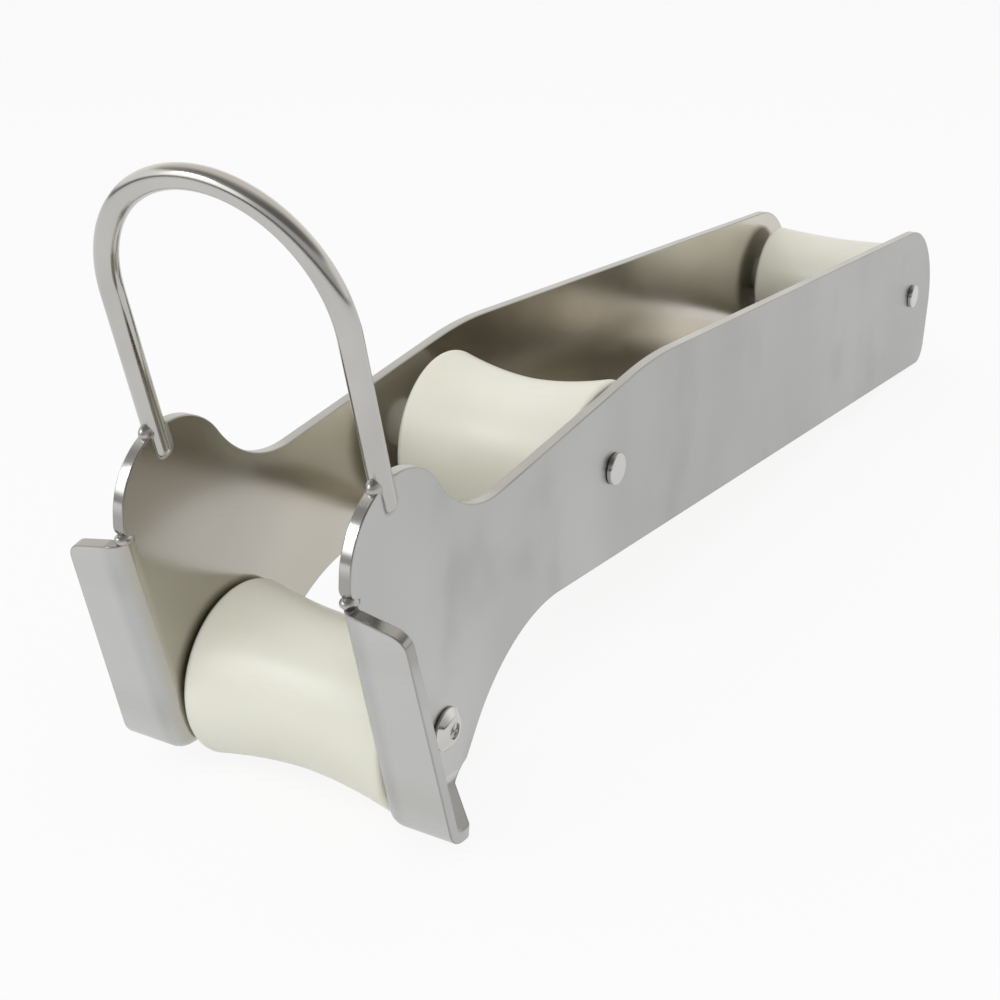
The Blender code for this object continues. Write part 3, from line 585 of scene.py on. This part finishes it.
def roller(node, bore_diameter):
    """Fine hourglass roller on the axle of its node."""
    low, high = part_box(node)
    half = (high.y - low.y) / 2
    middle = (high.y + low.y) / 2
    bore = bore_diameter / 2
    waist = WAIST_RADII[node]
    end = END_RADII[node]
    corners = [(bore, half - BORE_CHAMFER, 0), (bore + BORE_CHAMFER, half, 0),
               (end, half, ROLLER_EDGE_RADIUS)]
    for step in range(1, WAIST_STEPS):
        share = 1 - 2 * step / WAIST_STEPS
        radius = waist + (end - waist) * abs(share) ** WAIST_POWER
        if abs(share) * half < half - ROLLER_EDGE_RADIUS:
            corners.append((radius, share * half, 0))
    corners += [(end, -half, ROLLER_EDGE_RADIUS), (bore + BORE_CHAMFER, -half, 0),
                (bore, BORE_CHAMFER - half, 0)]
    profile = [(radius, middle + height) for radius, height in rounded_line(corners)]
    piece = turned(node + "_nylon", node, node, "cream_nylon", CREAM, profile, True, TURN_STEPS)
    weight_normals(piece, TURNED_WEIGHT)
    return piece


def ring(node, slot, finish, bore_diameter):
    """Fine washer or sleeve with broken edges, from its node's box."""
    low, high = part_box(node)
    outer = (high.z - low.z) / 2
    inner = bore_diameter / 2
    middle = (inner + outer) / 2
    corners = [(middle, high.y, 0), (outer, high.y, RING_EDGE), (outer, low.y, RING_EDGE),
               (inner, low.y, RING_EDGE), (inner, high.y, RING_EDGE), (middle, high.y, 0)]
    profile = [tuple(point) for point in rounded_line(corners)[:-1]]
    piece = turned(node + "_turned", "frame", node, slot, finish, profile, True, SMALL_TURN_STEPS)
    weight_normals(piece, TURNED_WEIGHT)
    return piece


def bow_bolt():
    """Button-head bolt with a hexagon socket."""
    low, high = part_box("bow_axle_bolt")
    seat = high.y - HEAD_HEIGHT
    shank = SHANK_DIAMETER / 2
    head = HEAD_DIAMETER / 2
    corners = [(0, high.y, 0), (HEAD_FLAT / 2, high.y, HEAD_ROUND), (head, seat + HEAD_EDGE, RING_EDGE),
               (head, seat, 0), (shank, seat, 0), (shank, low.y, END_CHAMFER), (0, low.y, 0)]
    profile = [tuple(point) for point in rounded_line(corners)]
    piece = turned("button_head_bolt", "frame", "bow_axle_bolt", "polished_stainless", POLISHED, profile,
                   False, SMALL_TURN_STEPS)
    socket = round_cutter("bolt_socket", axle_of("bow_axle_bolt") + Vector((0, high.y, 0)),
                          2 * SOCKET_WIDTH / sqrt(3), 2 * SOCKET_DEPTH, Vector(Y_AXIS),
                          HEXAGON_SIDES)
    cut(piece, socket)
    weight_normals(piece, TURNED_WEIGHT)
    return piece


def lock_nut():
    """Hexagon nut with chamfered corners and a collar round its nylon insert."""
    low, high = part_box("bow_lock_nut")
    seat, end = high.y, low.y
    shoulder = seat - NUT_HEIGHT
    corner = NUT_WIDTH / sqrt(3)
    bore = SHANK_DIAMETER / 2 + SEAT_GAP
    collar = NUT_COLLAR_DIAMETER / 2
    pocket = INSERT_DIAMETER / 2 + SEAT_GAP
    pocket_floor = end + INSERT_HEIGHT + SEAT_GAP
    chamfer = (corner - NUT_WIDTH / 2) / 2
    profile = [(bore, seat), (NUT_WIDTH / 2, seat), (corner, seat - chamfer), (corner, shoulder + chamfer),
               (NUT_WIDTH / 2, shoulder), (collar, shoulder), (collar, end), (pocket, end),
               (pocket, pocket_floor), (bore, pocket_floor)]
    piece = turned("nylon_insert_nut", "frame", "bow_lock_nut", "plain_stainless", PLAIN, profile, True,
                   SMALL_TURN_STEPS)
    flats = round_cutter("nut_flats", axle_of("bow_lock_nut") + Vector((0, (seat + end) / 2, 0)), 2 * corner,
                         4 * (seat - end), Vector(Y_AXIS), HEXAGON_SIDES)
    hexagon = piece.modifiers.new("hexagon", "BOOLEAN")
    hexagon.operation = "INTERSECT"
    hexagon.solver = "EXACT"
    hexagon.object = flats
    return piece


def clevis_pin(name):
    """Flat-headed pin with softened edges and a cross hole for its split pin."""
    node = name + "_clevis_pin"
    low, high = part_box(node)
    seat = high.y - PIN_HEAD_HEIGHT
    shank = SHANK_DIAMETER / 2
    head = PIN_HEAD_DIAMETER / 2
    corners = [(0, high.y, 0), (head, high.y, PIN_HEAD_ROUND), (head, seat, RING_EDGE), (shank, seat, 0),
               (shank, low.y, END_CHAMFER), (0, low.y, 0)]
    profile = [tuple(point) for point in rounded_line(corners)]
    piece = turned(name + "_pin", "frame", node, "plain_stainless", PIN_STEEL, profile, False,
                   SMALL_TURN_STEPS)
    centre = Vector((node_centre(node).x, node_centre(name + "_split_pin").y, node_centre(node).z))
    leg_offset = SPLIT_WIRE_DIAMETER / 2 + SEAT_GAP / 3
    hole = 2 * leg_offset + SPLIT_WIRE_DIAMETER + 2 * SEAT_GAP
    cut(piece, round_cutter(name + "_cross_hole", centre, hole, 2 * SHANK_DIAMETER, Vector(Z_AXIS),
                            HOLE_STEPS))
    weight_normals(piece, TURNED_WEIGHT)
    split_pin(name, centre, leg_offset)


def split_pin(name, centre, leg_offset):
    """Bent wire with an eye above the clevis pin and two spread legs below it."""
    reach = SHANK_DIAMETER / 2 + SPLIT_WIRE_DIAMETER
    spread_angle = radians(SPLIT_LEG_SPREAD)
    foot = Vector((leg_offset + SPLIT_LEG_LENGTH * sin(spread_angle), 0,
                   -reach - SPLIT_LEG_LENGTH * cos(spread_angle)))
    closing = asin(leg_offset / SPLIT_EYE_RADIUS)
    eye_z = reach + SPLIT_EYE_RADIUS * cos(closing)
    places = [centre + Vector((-foot.x, 0, foot.z)), centre + Vector((-leg_offset, 0, -reach))]
    for step in range(SMALL_TURN_STEPS + 1):
        turn = closing + 2 * (pi - closing) * step / SMALL_TURN_STEPS
        places.append(centre + Vector((-SPLIT_EYE_RADIUS * sin(turn), 0,
                                       eye_z - SPLIT_EYE_RADIUS * cos(turn))))
    places += [centre + Vector((leg_offset, 0, -reach)), centre + foot]
    mesh = tube(name + "_cotter", places, SPLIT_WIRE_DIAMETER / 2, WIRE_SIDES)
    mesh.set_sharp_from_angle(angle=radians(SHARP_ANGLE))
    return add_piece(name + "_cotter", mesh, "frame", name + "_split_pin", "plain_stainless", PLAIN)


def new_material(name):
    material = bpy.data.materials.new(name)
    material.use_nodes = True
    nodes = material.node_tree.nodes
    return material, nodes, material.node_tree.links, nodes["Principled BSDF"]


def noise(nodes, links, scale, detail, stretch=(1, 1, 1)):
    place = nodes.new("ShaderNodeTexCoord")
    mapping = nodes.new("ShaderNodeMapping")
    mapping.inputs["Scale"].default_value = stretch
    texture = nodes.new("ShaderNodeTexNoise")
    texture.inputs["Scale"].default_value = scale
    texture.inputs["Detail"].default_value = detail
    links.new(place.outputs["Object"], mapping.inputs["Vector"])
    links.new(mapping.outputs["Vector"], texture.inputs["Vector"])
    return texture.outputs["Fac"]


def along(nodes, links, direction):
    """Distance of a surface point along a direction of the part."""
    place = nodes.new("ShaderNodeTexCoord")
    product = nodes.new("ShaderNodeVectorMath")
    product.operation = "DOT_PRODUCT"
    product.inputs[1].default_value = direction
    links.new(place.outputs["Object"], product.inputs[0])
    return product.outputs["Value"]


def arithmetic(nodes, links, operation, first, second=None):
    node = nodes.new("ShaderNodeMath")
    node.operation = operation
    links.new(first, node.inputs[0])
    if isinstance(second, float):
        node.inputs[1].default_value = second
    elif second is not None:
        links.new(second, node.inputs[1])
    return node.outputs[0]


def spread(nodes, links, source, low, high, start=0.15, end=0.85):
    """Map a value smoothly to a range."""
    ramp = nodes.new("ShaderNodeMapRange")
    ramp.interpolation_type = "SMOOTHSTEP"
    ramp.inputs["From Min"].default_value = start
    ramp.inputs["From Max"].default_value = end
    ramp.inputs["To Min"].default_value = low
    ramp.inputs["To Max"].default_value = high
    links.new(source, ramp.inputs["Value"])
    return ramp.outputs["Result"]


def blend(nodes, links, source, first, second):
    """Mix of two colours, each a colour or a socket."""
    mix = nodes.new("ShaderNodeMix")
    mix.data_type = "RGBA"
    for name, colour in (("A", first), ("B", second)):
        socket = next(item for item in mix.inputs if item.name == name and item.type == "RGBA")
        if isinstance(colour, tuple):
            socket.default_value = (*colour, 1)
        else:
            links.new(colour, socket)
    links.new(source, mix.inputs["Factor"])
    return next(item for item in mix.outputs if item.type == "RGBA")


def fine_relief(nodes, links, shader, source, strength, distance):
    relief = nodes.new("ShaderNodeBump")
    relief.inputs["Strength"].default_value = strength
    relief.inputs["Distance"].default_value = distance
    links.new(source, relief.inputs["Height"])
    links.new(relief.outputs["Normal"], shader.inputs["Normal"])


def steel(name, dark, light, rough_low, rough_high):
    """Stainless steel with cloudy tone and uneven gloss."""
    material, nodes, links, shader = new_material(name)
    shader.inputs["Metallic"].default_value = 1.0
    clouds = spread(nodes, links, noise(nodes, links, *STEEL_CLOUDS), 0, 1, *CLOUD_RANGE)
    links.new(blend(nodes, links, clouds, dark, light), shader.inputs["Base Color"])
    smears = noise(nodes, links, *STEEL_SMEARS)
    links.new(spread(nodes, links, smears, rough_low, rough_high), shader.inputs["Roughness"])
    return material


def satin_sheet(name):
    """Satin sheet of the cheeks: smoky smears outside, a painted reflection that darkens the rear of the
    outer face and lightens the lips, and in the channel a glossier side painted warmer and lighter as a
    painted reflection of the cream rollers, with painted shade towards the front.
    """
    material, nodes, links, shader = new_material(name)
    shader.inputs["Metallic"].default_value = 1.0
    length = along(nodes, links, X_AXIS)
    depth = arithmetic(nodes, links, "ABSOLUTE", along(nodes, links, Y_AXIS))
    inner = spread(nodes, links, depth, 1, 0, *SIDE_Y)
    clouds = spread(nodes, links, noise(nodes, links, *SHEET_CLOUDS), 0, 1, *CLOUD_RANGE)
    smoke = spread(nodes, links, noise(nodes, links, *SHEET_SMOKE), 0, 1, *SMOKE_RANGE)
    smoke = arithmetic(nodes, links, "MULTIPLY", smoke, SMOKE_SHARE)

    outside = blend(nodes, links, clouds, OUTSIDE_DARK, OUTSIDE_LIGHT)
    outside = blend(nodes, links, smoke, outside, SMOKE_TONE)
    # Painted reflection: the outer face is darker towards the rear
    rear_reflection = spread(nodes, links, length, REAR_REFLECTION_SHARE, 1, *REAR_REFLECTION_X)
    outside = blend(nodes, links, rear_reflection, REAR_PAINTED_REFLECTION, outside)
    # Painted reflection: the lips are lighter than the rest of the same sheet
    lip = spread(nodes, links, depth, 0, LIP_REFLECTION_SHARE, *LIP_Y)
    outside = blend(nodes, links, lip, outside, LIP_PAINTED_REFLECTION)

    # Painted reflection: the channel side is a warmer, lighter copy of the clouded steel, for the cream
    # rollers it mirrors
    inside_reflection = blend(nodes, links, clouds, INSIDE_REFLECTION_DARK, INSIDE_REFLECTION_LIGHT)
    # Painted shade: the channel side is darker towards the front
    front_shade = spread(nodes, links, length, 0, FRONT_SHADE_SHARE, *FRONT_SHADE_X)
    inside_reflection = blend(nodes, links, front_shade, inside_reflection, INSIDE_FRONT_SHADE)
    links.new(blend(nodes, links, inner, outside, inside_reflection), shader.inputs["Base Color"])

    smears = spread(nodes, links, noise(nodes, links, *SHEET_SMEARS), *SATIN_ROUGH)
    gloss = arithmetic(nodes, links, "MULTIPLY", inner, INNER_GLOSS)
    links.new(arithmetic(nodes, links, "SUBTRACT", smears, gloss), shader.inputs["Roughness"])
    fine_relief(nodes, links, shader, noise(nodes, links, *SHEET_WAVES), *WAVE_RELIEF)
    return material


def edge_steel(name):
    """Cut edges: satin along the channel, mirror bright round the front of the ears and over the lips, with a
    painted dark reflection on the polished edges below the ear's foot.
    """
    material, nodes, links, shader = new_material(name)
    shader.inputs["Metallic"].default_value = 1.0
    height = along(nodes, links, Z_AXIS)
    front = spread(nodes, links, along(nodes, links, X_AXIS), 0, 1, *MIRROR_X)
    upper = spread(nodes, links, height, 0, 1, *MIRROR_Z)
    mirror = arithmetic(nodes, links, "MULTIPLY", front, upper)
    clouds = spread(nodes, links, noise(nodes, links, *EDGE_CLOUDS), 0, 1)
    satin = blend(nodes, links, clouds, EDGE_DARK, EDGE_LIGHT)
    # Painted dark reflection: the polished edges are darker below the ear's foot, over the lips
    above_dark_reflection = spread(nodes, links, height, 0, 1, *MIRROR_DARK_REFLECTION_Z)
    bright = blend(nodes, links, above_dark_reflection, MIRROR_FOOT_DARK_REFLECTION, MIRROR_TONE)
    links.new(blend(nodes, links, mirror, satin, bright), shader.inputs["Base Color"])
    links.new(spread(nodes, links, mirror, SATIN_ROUGH[1], MIRROR_ROUGH, 0, 1), shader.inputs["Roughness"])
    return material


def nylon(name, dark, light):
    """Nylon: faint clouds, soft sheen and fine turning marks."""
    material, nodes, links, shader = new_material(name)
    clouds = spread(nodes, links, noise(nodes, links, *NYLON_CLOUDS), 0, 1, *CLOUD_RANGE)
    links.new(blend(nodes, links, clouds, dark, light), shader.inputs["Base Color"])
    shader.inputs["Subsurface Weight"].default_value = NYLON_GLOW
    shader.inputs["Subsurface Radius"].default_value = NYLON_GLOW_DEPTH
    shader.inputs["Subsurface Scale"].default_value = 1.0
    smears = noise(nodes, links, *NYLON_SMEARS)
    links.new(spread(nodes, links, smears, *NYLON_ROUGH), shader.inputs["Roughness"])
    fine_relief(nodes, links, shader, noise(nodes, links, *TURNING_MARKS), *TURNING_RELIEF)
    return material


# Textures: scale, detail and, where they are drawn out, the stretch along each axis
STEEL_CLOUDS = (26, 2)
STEEL_SMEARS = (45, 2)
SHEET_CLOUDS = (16, 1.5, (1, 0, 0.5))
SHEET_SMOKE = (30, 2, (1, 0, 0.7))
SHEET_SMEARS = (35, 2)
SHEET_WAVES = (28, 1)
EDGE_CLOUDS = (40, 3)
NYLON_CLOUDS = (25, 1)
NYLON_SMEARS = (40, 1)
TURNING_MARKS = (350, 1, (0.02, 0.02, 1))

# Reliefs: strength and depth
WAVE_RELIEF = (0.06, 0.0003)
TURNING_RELIEF = (0.03, 0.00008)

# Where one look passes into another, by texture value or by place on the part
CLOUD_RANGE = (0.25, 0.75)
SMOKE_RANGE = (0.52, 0.75)
SIDE_Y = (HALF_CHANNEL + 0.0004, OUTER_FACE - 0.0004)
# Where the painted reflection on the lips begins and ends
LIP_Y = (OUTER_FACE + 0.001, OUTER_FACE + 0.006)
# Where the painted reflection on the rear of the outer face ends
REAR_REFLECTION_X = (0.22, 0.46)
# Where the painted shade at the front of the channel side begins and ends
FRONT_SHADE_X = (0.40, 0.47)
MIRROR_X = (0.476, 0.488)
MIRROR_Z = (0.018, 0.024)
# Where the painted dark reflection on the lower polished edges ends
MIRROR_DARK_REFLECTION_Z = (0.043, 0.049)

# Tones, their shares and how rough the surfaces are
OUTSIDE_DARK = (0.46, 0.46, 0.455)
OUTSIDE_LIGHT = (0.56, 0.56, 0.555)
# Painted reflection that lightens the lips, and its share
LIP_PAINTED_REFLECTION = (0.64, 0.64, 0.62)
LIP_REFLECTION_SHARE = 0.4
SMOKE_TONE = (0.36, 0.35, 0.33)
SMOKE_SHARE = 0.45
# Painted reflection that darkens the rear of the outer face, and its share
REAR_PAINTED_REFLECTION = (0.35, 0.35, 0.34)
REAR_REFLECTION_SHARE = 0.45
INNER_GLOSS = 0.13
# Painted shade at the front of the channel side, and its share
INSIDE_FRONT_SHADE = (0.40, 0.385, 0.34)
FRONT_SHADE_SHARE = 0.75
# Channel side: clouded steel painted warmer and lighter, a painted reflection of the cream rollers
INSIDE_REFLECTION_DARK = (0.55, 0.52, 0.46)
INSIDE_REFLECTION_LIGHT = (0.67, 0.635, 0.57)
EDGE_DARK = (0.44, 0.44, 0.43)
EDGE_LIGHT = (0.52, 0.52, 0.51)
MIRROR_TONE = (0.68, 0.67, 0.65)
# Painted dark reflection on the polished edges below the ear's foot
MIRROR_FOOT_DARK_REFLECTION = (0.36, 0.355, 0.34)
MIRROR_ROUGH = 0.15
SATIN_ROUGH = (0.285, 0.34)
NYLON_ROUGH = (0.30, 0.38)
NYLON_GLOW = 0.25
NYLON_GLOW_DEPTH = (0.005, 0.004, 0.003)

# Steels: dark tone, light tone, lowest and highest roughness; nylons: dark tone, light tone
SATIN = satin_sheet("satin_steel")
EDGES = edge_steel("edge_steel")
# Rounded strips beside the cut edges: the same steel painted darker, a painted shade
ROUNDING_SHADE = steel("rounding_shade_steel", (0.32, 0.31, 0.295), (0.40, 0.39, 0.375), 0.29, 0.35)
POLISHED = steel("polished_steel", (0.56, 0.55, 0.53), (0.66, 0.65, 0.63), 0.09, 0.16)
HOOP_STEEL = steel("hoop_steel", (0.47, 0.46, 0.44), (0.55, 0.54, 0.515), 0.12, 0.2)
FOOT_STEEL = steel("foot_weld_steel", (0.42, 0.41, 0.395), (0.52, 0.51, 0.495), 0.29, 0.36)
PLAIN = steel("plain_steel", (0.48, 0.48, 0.47), (0.56, 0.56, 0.55), 0.285, 0.35)
PIN_STEEL = steel("pin_steel", (0.56, 0.55, 0.54), (0.64, 0.63, 0.62), 0.12, 0.2)
BEAD = steel("bead_steel", (0.42, 0.40, 0.37), (0.56, 0.54, 0.50), 0.29, 0.38)
CREAM = nylon("cream_nylon", (0.77, 0.76, 0.65), (0.83, 0.82, 0.72))
WHITE = nylon("white_nylon", (0.78, 0.78, 0.75), (0.84, 0.84, 0.81))

SLOT_FINISHES = {"satin_stainless": SATIN, "polished_stainless": POLISHED, "plain_stainless": PLAIN,
                 "weld_bead": BEAD, "cream_nylon": CREAM, "white_nylon": WHITE}


def finish_frame():
    """Give every carried-over node the finish of its slot."""
    for row in frame["record"]["subparts"]:
        node = frame["nodes"][row["node"]]
        node.data.materials.clear()
        node.data.materials.append(SLOT_FINISHES[row["material_slot"]])


# The part stands on a table, nose down, on the bow roller and on the rear corners of the cheeks
TABLE_TILT = 6.18
TABLE_UP = Vector((sin(radians(TABLE_TILT)), 0, cos(radians(TABLE_TILT))))
TABLE_SIZE = 12.0
TABLE_GAP = 0.0002
TABLE_TONE = 0.86
CAMERA_GLOW = 0.88
GLOSSY_GLOW = 0.72


def table():
    low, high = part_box("bow_roller")
    contact = (low + high) / 2 - TABLE_UP * (high.z - low.z) / 2
    mesh = bpy.data.meshes.new("table")
    shape = bmesh.new()
    bmesh.ops.create_grid(shape, x_segments=1, y_segments=1, size=TABLE_SIZE)
    shape.to_mesh(mesh)
    shape.free()
    floor = bpy.data.objects.new("table", mesh)
    bpy.context.scene.collection.objects.link(floor)
    floor.location = contact - TABLE_UP * TABLE_GAP
    floor.rotation_mode = "QUATERNION"
    floor.rotation_quaternion = Vector(Z_AXIS).rotation_difference(TABLE_UP)

    material, nodes, links, shader = new_material("table_white")
    nodes.remove(shader)
    diffuse = nodes.new("ShaderNodeBsdfDiffuse")
    diffuse.inputs["Color"].default_value = (TABLE_TONE, TABLE_TONE, TABLE_TONE, 1)
    glow = nodes.new("ShaderNodeEmission")
    glow.inputs["Strength"].default_value = 1.0
    path = nodes.new("ShaderNodeLightPath")
    to_camera = arithmetic(nodes, links, "MULTIPLY", path.outputs["Is Camera Ray"], CAMERA_GLOW)
    to_metal = arithmetic(nodes, links, "MULTIPLY", path.outputs["Is Glossy Ray"], GLOSSY_GLOW)
    mix = nodes.new("ShaderNodeMixShader")
    links.new(arithmetic(nodes, links, "MAXIMUM", to_camera, to_metal), mix.inputs["Fac"])
    links.new(diffuse.outputs[0], mix.inputs[1])
    links.new(glow.outputs[0], mix.inputs[2])
    links.new(mix.outputs[0], nodes["Material Output"].inputs["Surface"])
    mesh.materials.append(material)


def area_light(name, place, target, size, power):
    light = bpy.data.lights.new(name, "AREA")
    light.shape = "RECTANGLE"
    light.size, light.size_y = size
    light.energy = power
    lamp = bpy.data.objects.new(name, light)
    bpy.context.scene.collection.objects.link(lamp)
    lamp.location = place
    lamp.rotation_mode = "QUATERNION"
    lamp.rotation_quaternion = (Vector(target) - Vector(place)).to_track_quat("-Z", "Y")
    return lamp


# What metal sees of the room, by height of the direction: a dark gap, white walls and a duller ceiling
ROOM_BANDS = ((0.0, 0.2), (0.05, 0.22), (0.16, 1.0), (0.44, 1.0), (0.58, 0.3), (0.85, 0.24), (1.0, 0.4))
ROOM_WARMTH = (1.0, 0.965, 0.91)
ROOM_LEVEL = 1.1

# Parts of the room that differ, each with its direction, its strength and where it begins and ends
DULL_SIDE = (0.6, 0.8, 0.0)
DULL_LEVEL = 0.55
DULL_RANGE = (0.1, 0.85)
REAR_CEILING = (-0.75, -0.30, 0.59)
REAR_CEILING_SHARE = 0.8
REAR_CEILING_RANGE = (0.35, 0.85)
WINDOW_SIDE = (0.80, -0.50, 0.33)
WINDOW_LEVEL = 0.6
WINDOW_RANGE = (0.88, 0.97)
DIFFUSE_LEVEL = 0.62

# Lamps: place, target, size and power
OVERHEAD_LAMP = ((0.3, 0.1, 1.4), (0.25, 0, 0), (1.4, 1.0), 2.0)
FRONT_LAMP = ((1.5, 0.35, 0.9), (0.3, 0, 0), (1.2, 1.2), 6.0)
WINDOW_LAMP = ((1.53, -0.77, 0.81), (0.36, 0, 0.05), (0.5, 0.3), 3.2)
WINDOW_COLOUR = (0.88, 0.95, 1.0)


def room():
    """Surroundings: plain white for the eye and for dull surfaces, walls and a window for metal to show."""
    world = bpy.data.worlds.new("studio")
    bpy.context.scene.world = world
    world.use_nodes = True
    nodes, links = world.node_tree.nodes, world.node_tree.links
    background = nodes["Background"]
    place = nodes.new("ShaderNodeTexCoord")

    def towards(direction, low, high, limits):
        product = nodes.new("ShaderNodeVectorMath")
        product.operation = "DOT_PRODUCT"
        product.inputs[1].default_value = direction
        links.new(place.outputs["Generated"], product.inputs[0])
        return spread(nodes, links, product.outputs["Value"], low, high, *limits)

    bands = nodes.new("ShaderNodeValToRGB")
    bands.color_ramp.interpolation = "EASE"
    for index, (stop, level) in enumerate(ROOM_BANDS):
        element = bands.color_ramp.elements[index] if index < 2 else bands.color_ramp.elements.new(stop)
        element.position = stop
        dull = 1 - level
        element.color = (*[level * (1 - dull * (1 - tone)) for tone in ROOM_WARMTH], 1)
    height = nodes.new("ShaderNodeSeparateXYZ")
    links.new(place.outputs["Generated"], height.inputs[0])
    links.new(height.outputs["Z"], bands.inputs["Fac"])
    ceiling = towards(REAR_CEILING, 0, REAR_CEILING_SHARE, REAR_CEILING_RANGE)
    colour = blend(nodes, links, ceiling, bands.outputs["Color"], ROOM_WARMTH)
    walls = towards(DULL_SIDE, ROOM_LEVEL, DULL_LEVEL, DULL_RANGE)
    window = towards(WINDOW_SIDE, 0, WINDOW_LEVEL, WINDOW_RANGE)
    shown = arithmetic(nodes, links, "ADD", walls, window)

    path = nodes.new("ShaderNodeLightPath")
    glossy = path.outputs["Is Glossy Ray"]
    white = spread(nodes, links, path.outputs["Is Camera Ray"], DIFFUSE_LEVEL, 1.0, 0, 1)
    to_metal = arithmetic(nodes, links, "MULTIPLY", shown, glossy)
    less_rest = arithmetic(nodes, links, "MULTIPLY", white, arithmetic(nodes, links, "SUBTRACT", glossy, 1.0))
    links.new(arithmetic(nodes, links, "SUBTRACT", to_metal, less_rest), background.inputs["Strength"])
    links.new(blend(nodes, links, glossy, (1.0, 1.0, 1.0), colour), background.inputs["Color"])


def lamps():
    """Two soft lamps that metal doesn't show, and a window."""
    for name, lamp in (("overhead", OVERHEAD_LAMP), ("front", FRONT_LAMP)):
        area_light(name, *lamp).visible_glossy = False
    area_light("window", *WINDOW_LAMP).data.color = WINDOW_COLOUR


# The camera, solved from the photograph
CAMERA_PLACE = Vector((0.8443, 0.2803, 0.2134))
CAMERA_RIGHT = Vector((-0.50221, 0.86335, 0.04903))
CAMERA_UP = Vector((-0.25937, -0.20448, 0.94388))
CAMERA_LENS = 60.86
SENSOR_WIDTH = 36.0
CLIP_START = 0.01
CLIP_END = 50.0


def camera():
    data = bpy.data.cameras.new("camera")
    data.lens = CAMERA_LENS
    data.sensor_width = SENSOR_WIDTH
    data.clip_start = CLIP_START
    data.clip_end = CLIP_END
    view = bpy.data.objects.new("camera", data)
    bpy.context.scene.collection.objects.link(view)
    back = CAMERA_RIGHT.cross(CAMERA_UP)
    turn = Matrix((CAMERA_RIGHT, CAMERA_UP, back)).transposed().to_4x4()
    view.matrix_world = Matrix.Translation(CAMERA_PLACE) @ turn
    bpy.context.scene.camera = view


def build():
    across = Vector(Y_AXIS)
    span = 2 * (OUTER_FACE + SHEET)
    hole = SHANK_DIAMETER + 2 * SEAT_GAP
    cutters = [round_cutter(node + "_holes", axle_of(node), hole, span, across, SMALL_TURN_STEPS)
               for node in ("aft_roller", "middle_roller", "bow_roller")]
    cutters.append(hoop_slot())
    for side_name, side in (("port", PORT), ("starboard", STARBOARD)):
        cheek(side_name, side, cutters)
        hoop_weld(side_name, side)
        corner_bead(side_name, side)
        seam_weld(side_name, side)
    hoop()
    roller("bow_roller", SLEEVE_DIAMETER + 2 * ROLLER_CLEARANCE)
    roller("middle_roller", SHANK_DIAMETER + 2 * ROLLER_CLEARANCE)
    roller("aft_roller", SHANK_DIAMETER + 2 * ROLLER_CLEARANCE)
    bow_bolt()
    lock_nut()
    ring("bow_nut_insert", "white_nylon", WHITE, hole)
    ring("bow_bolt_washer", "plain_stainless", PLAIN, hole)
    ring("bow_axle_sleeve", "plain_stainless", PLAIN, hole)
    ring("middle_spacer", "white_nylon", WHITE, hole)
    for name in ("middle", "aft"):
        clevis_pin(name)
        ring(name + "_tail_washer", "plain_stainless", PLAIN, hole)
    for side_name in ("port", "starboard"):
        ring(f"aft_{side_name}_thrust_washer", "white_nylon", WHITE, hole)


finish_frame()
build()
table()
room()
lamps()
camera()
bpy.context.scene.view_settings.view_transform = "Standard"
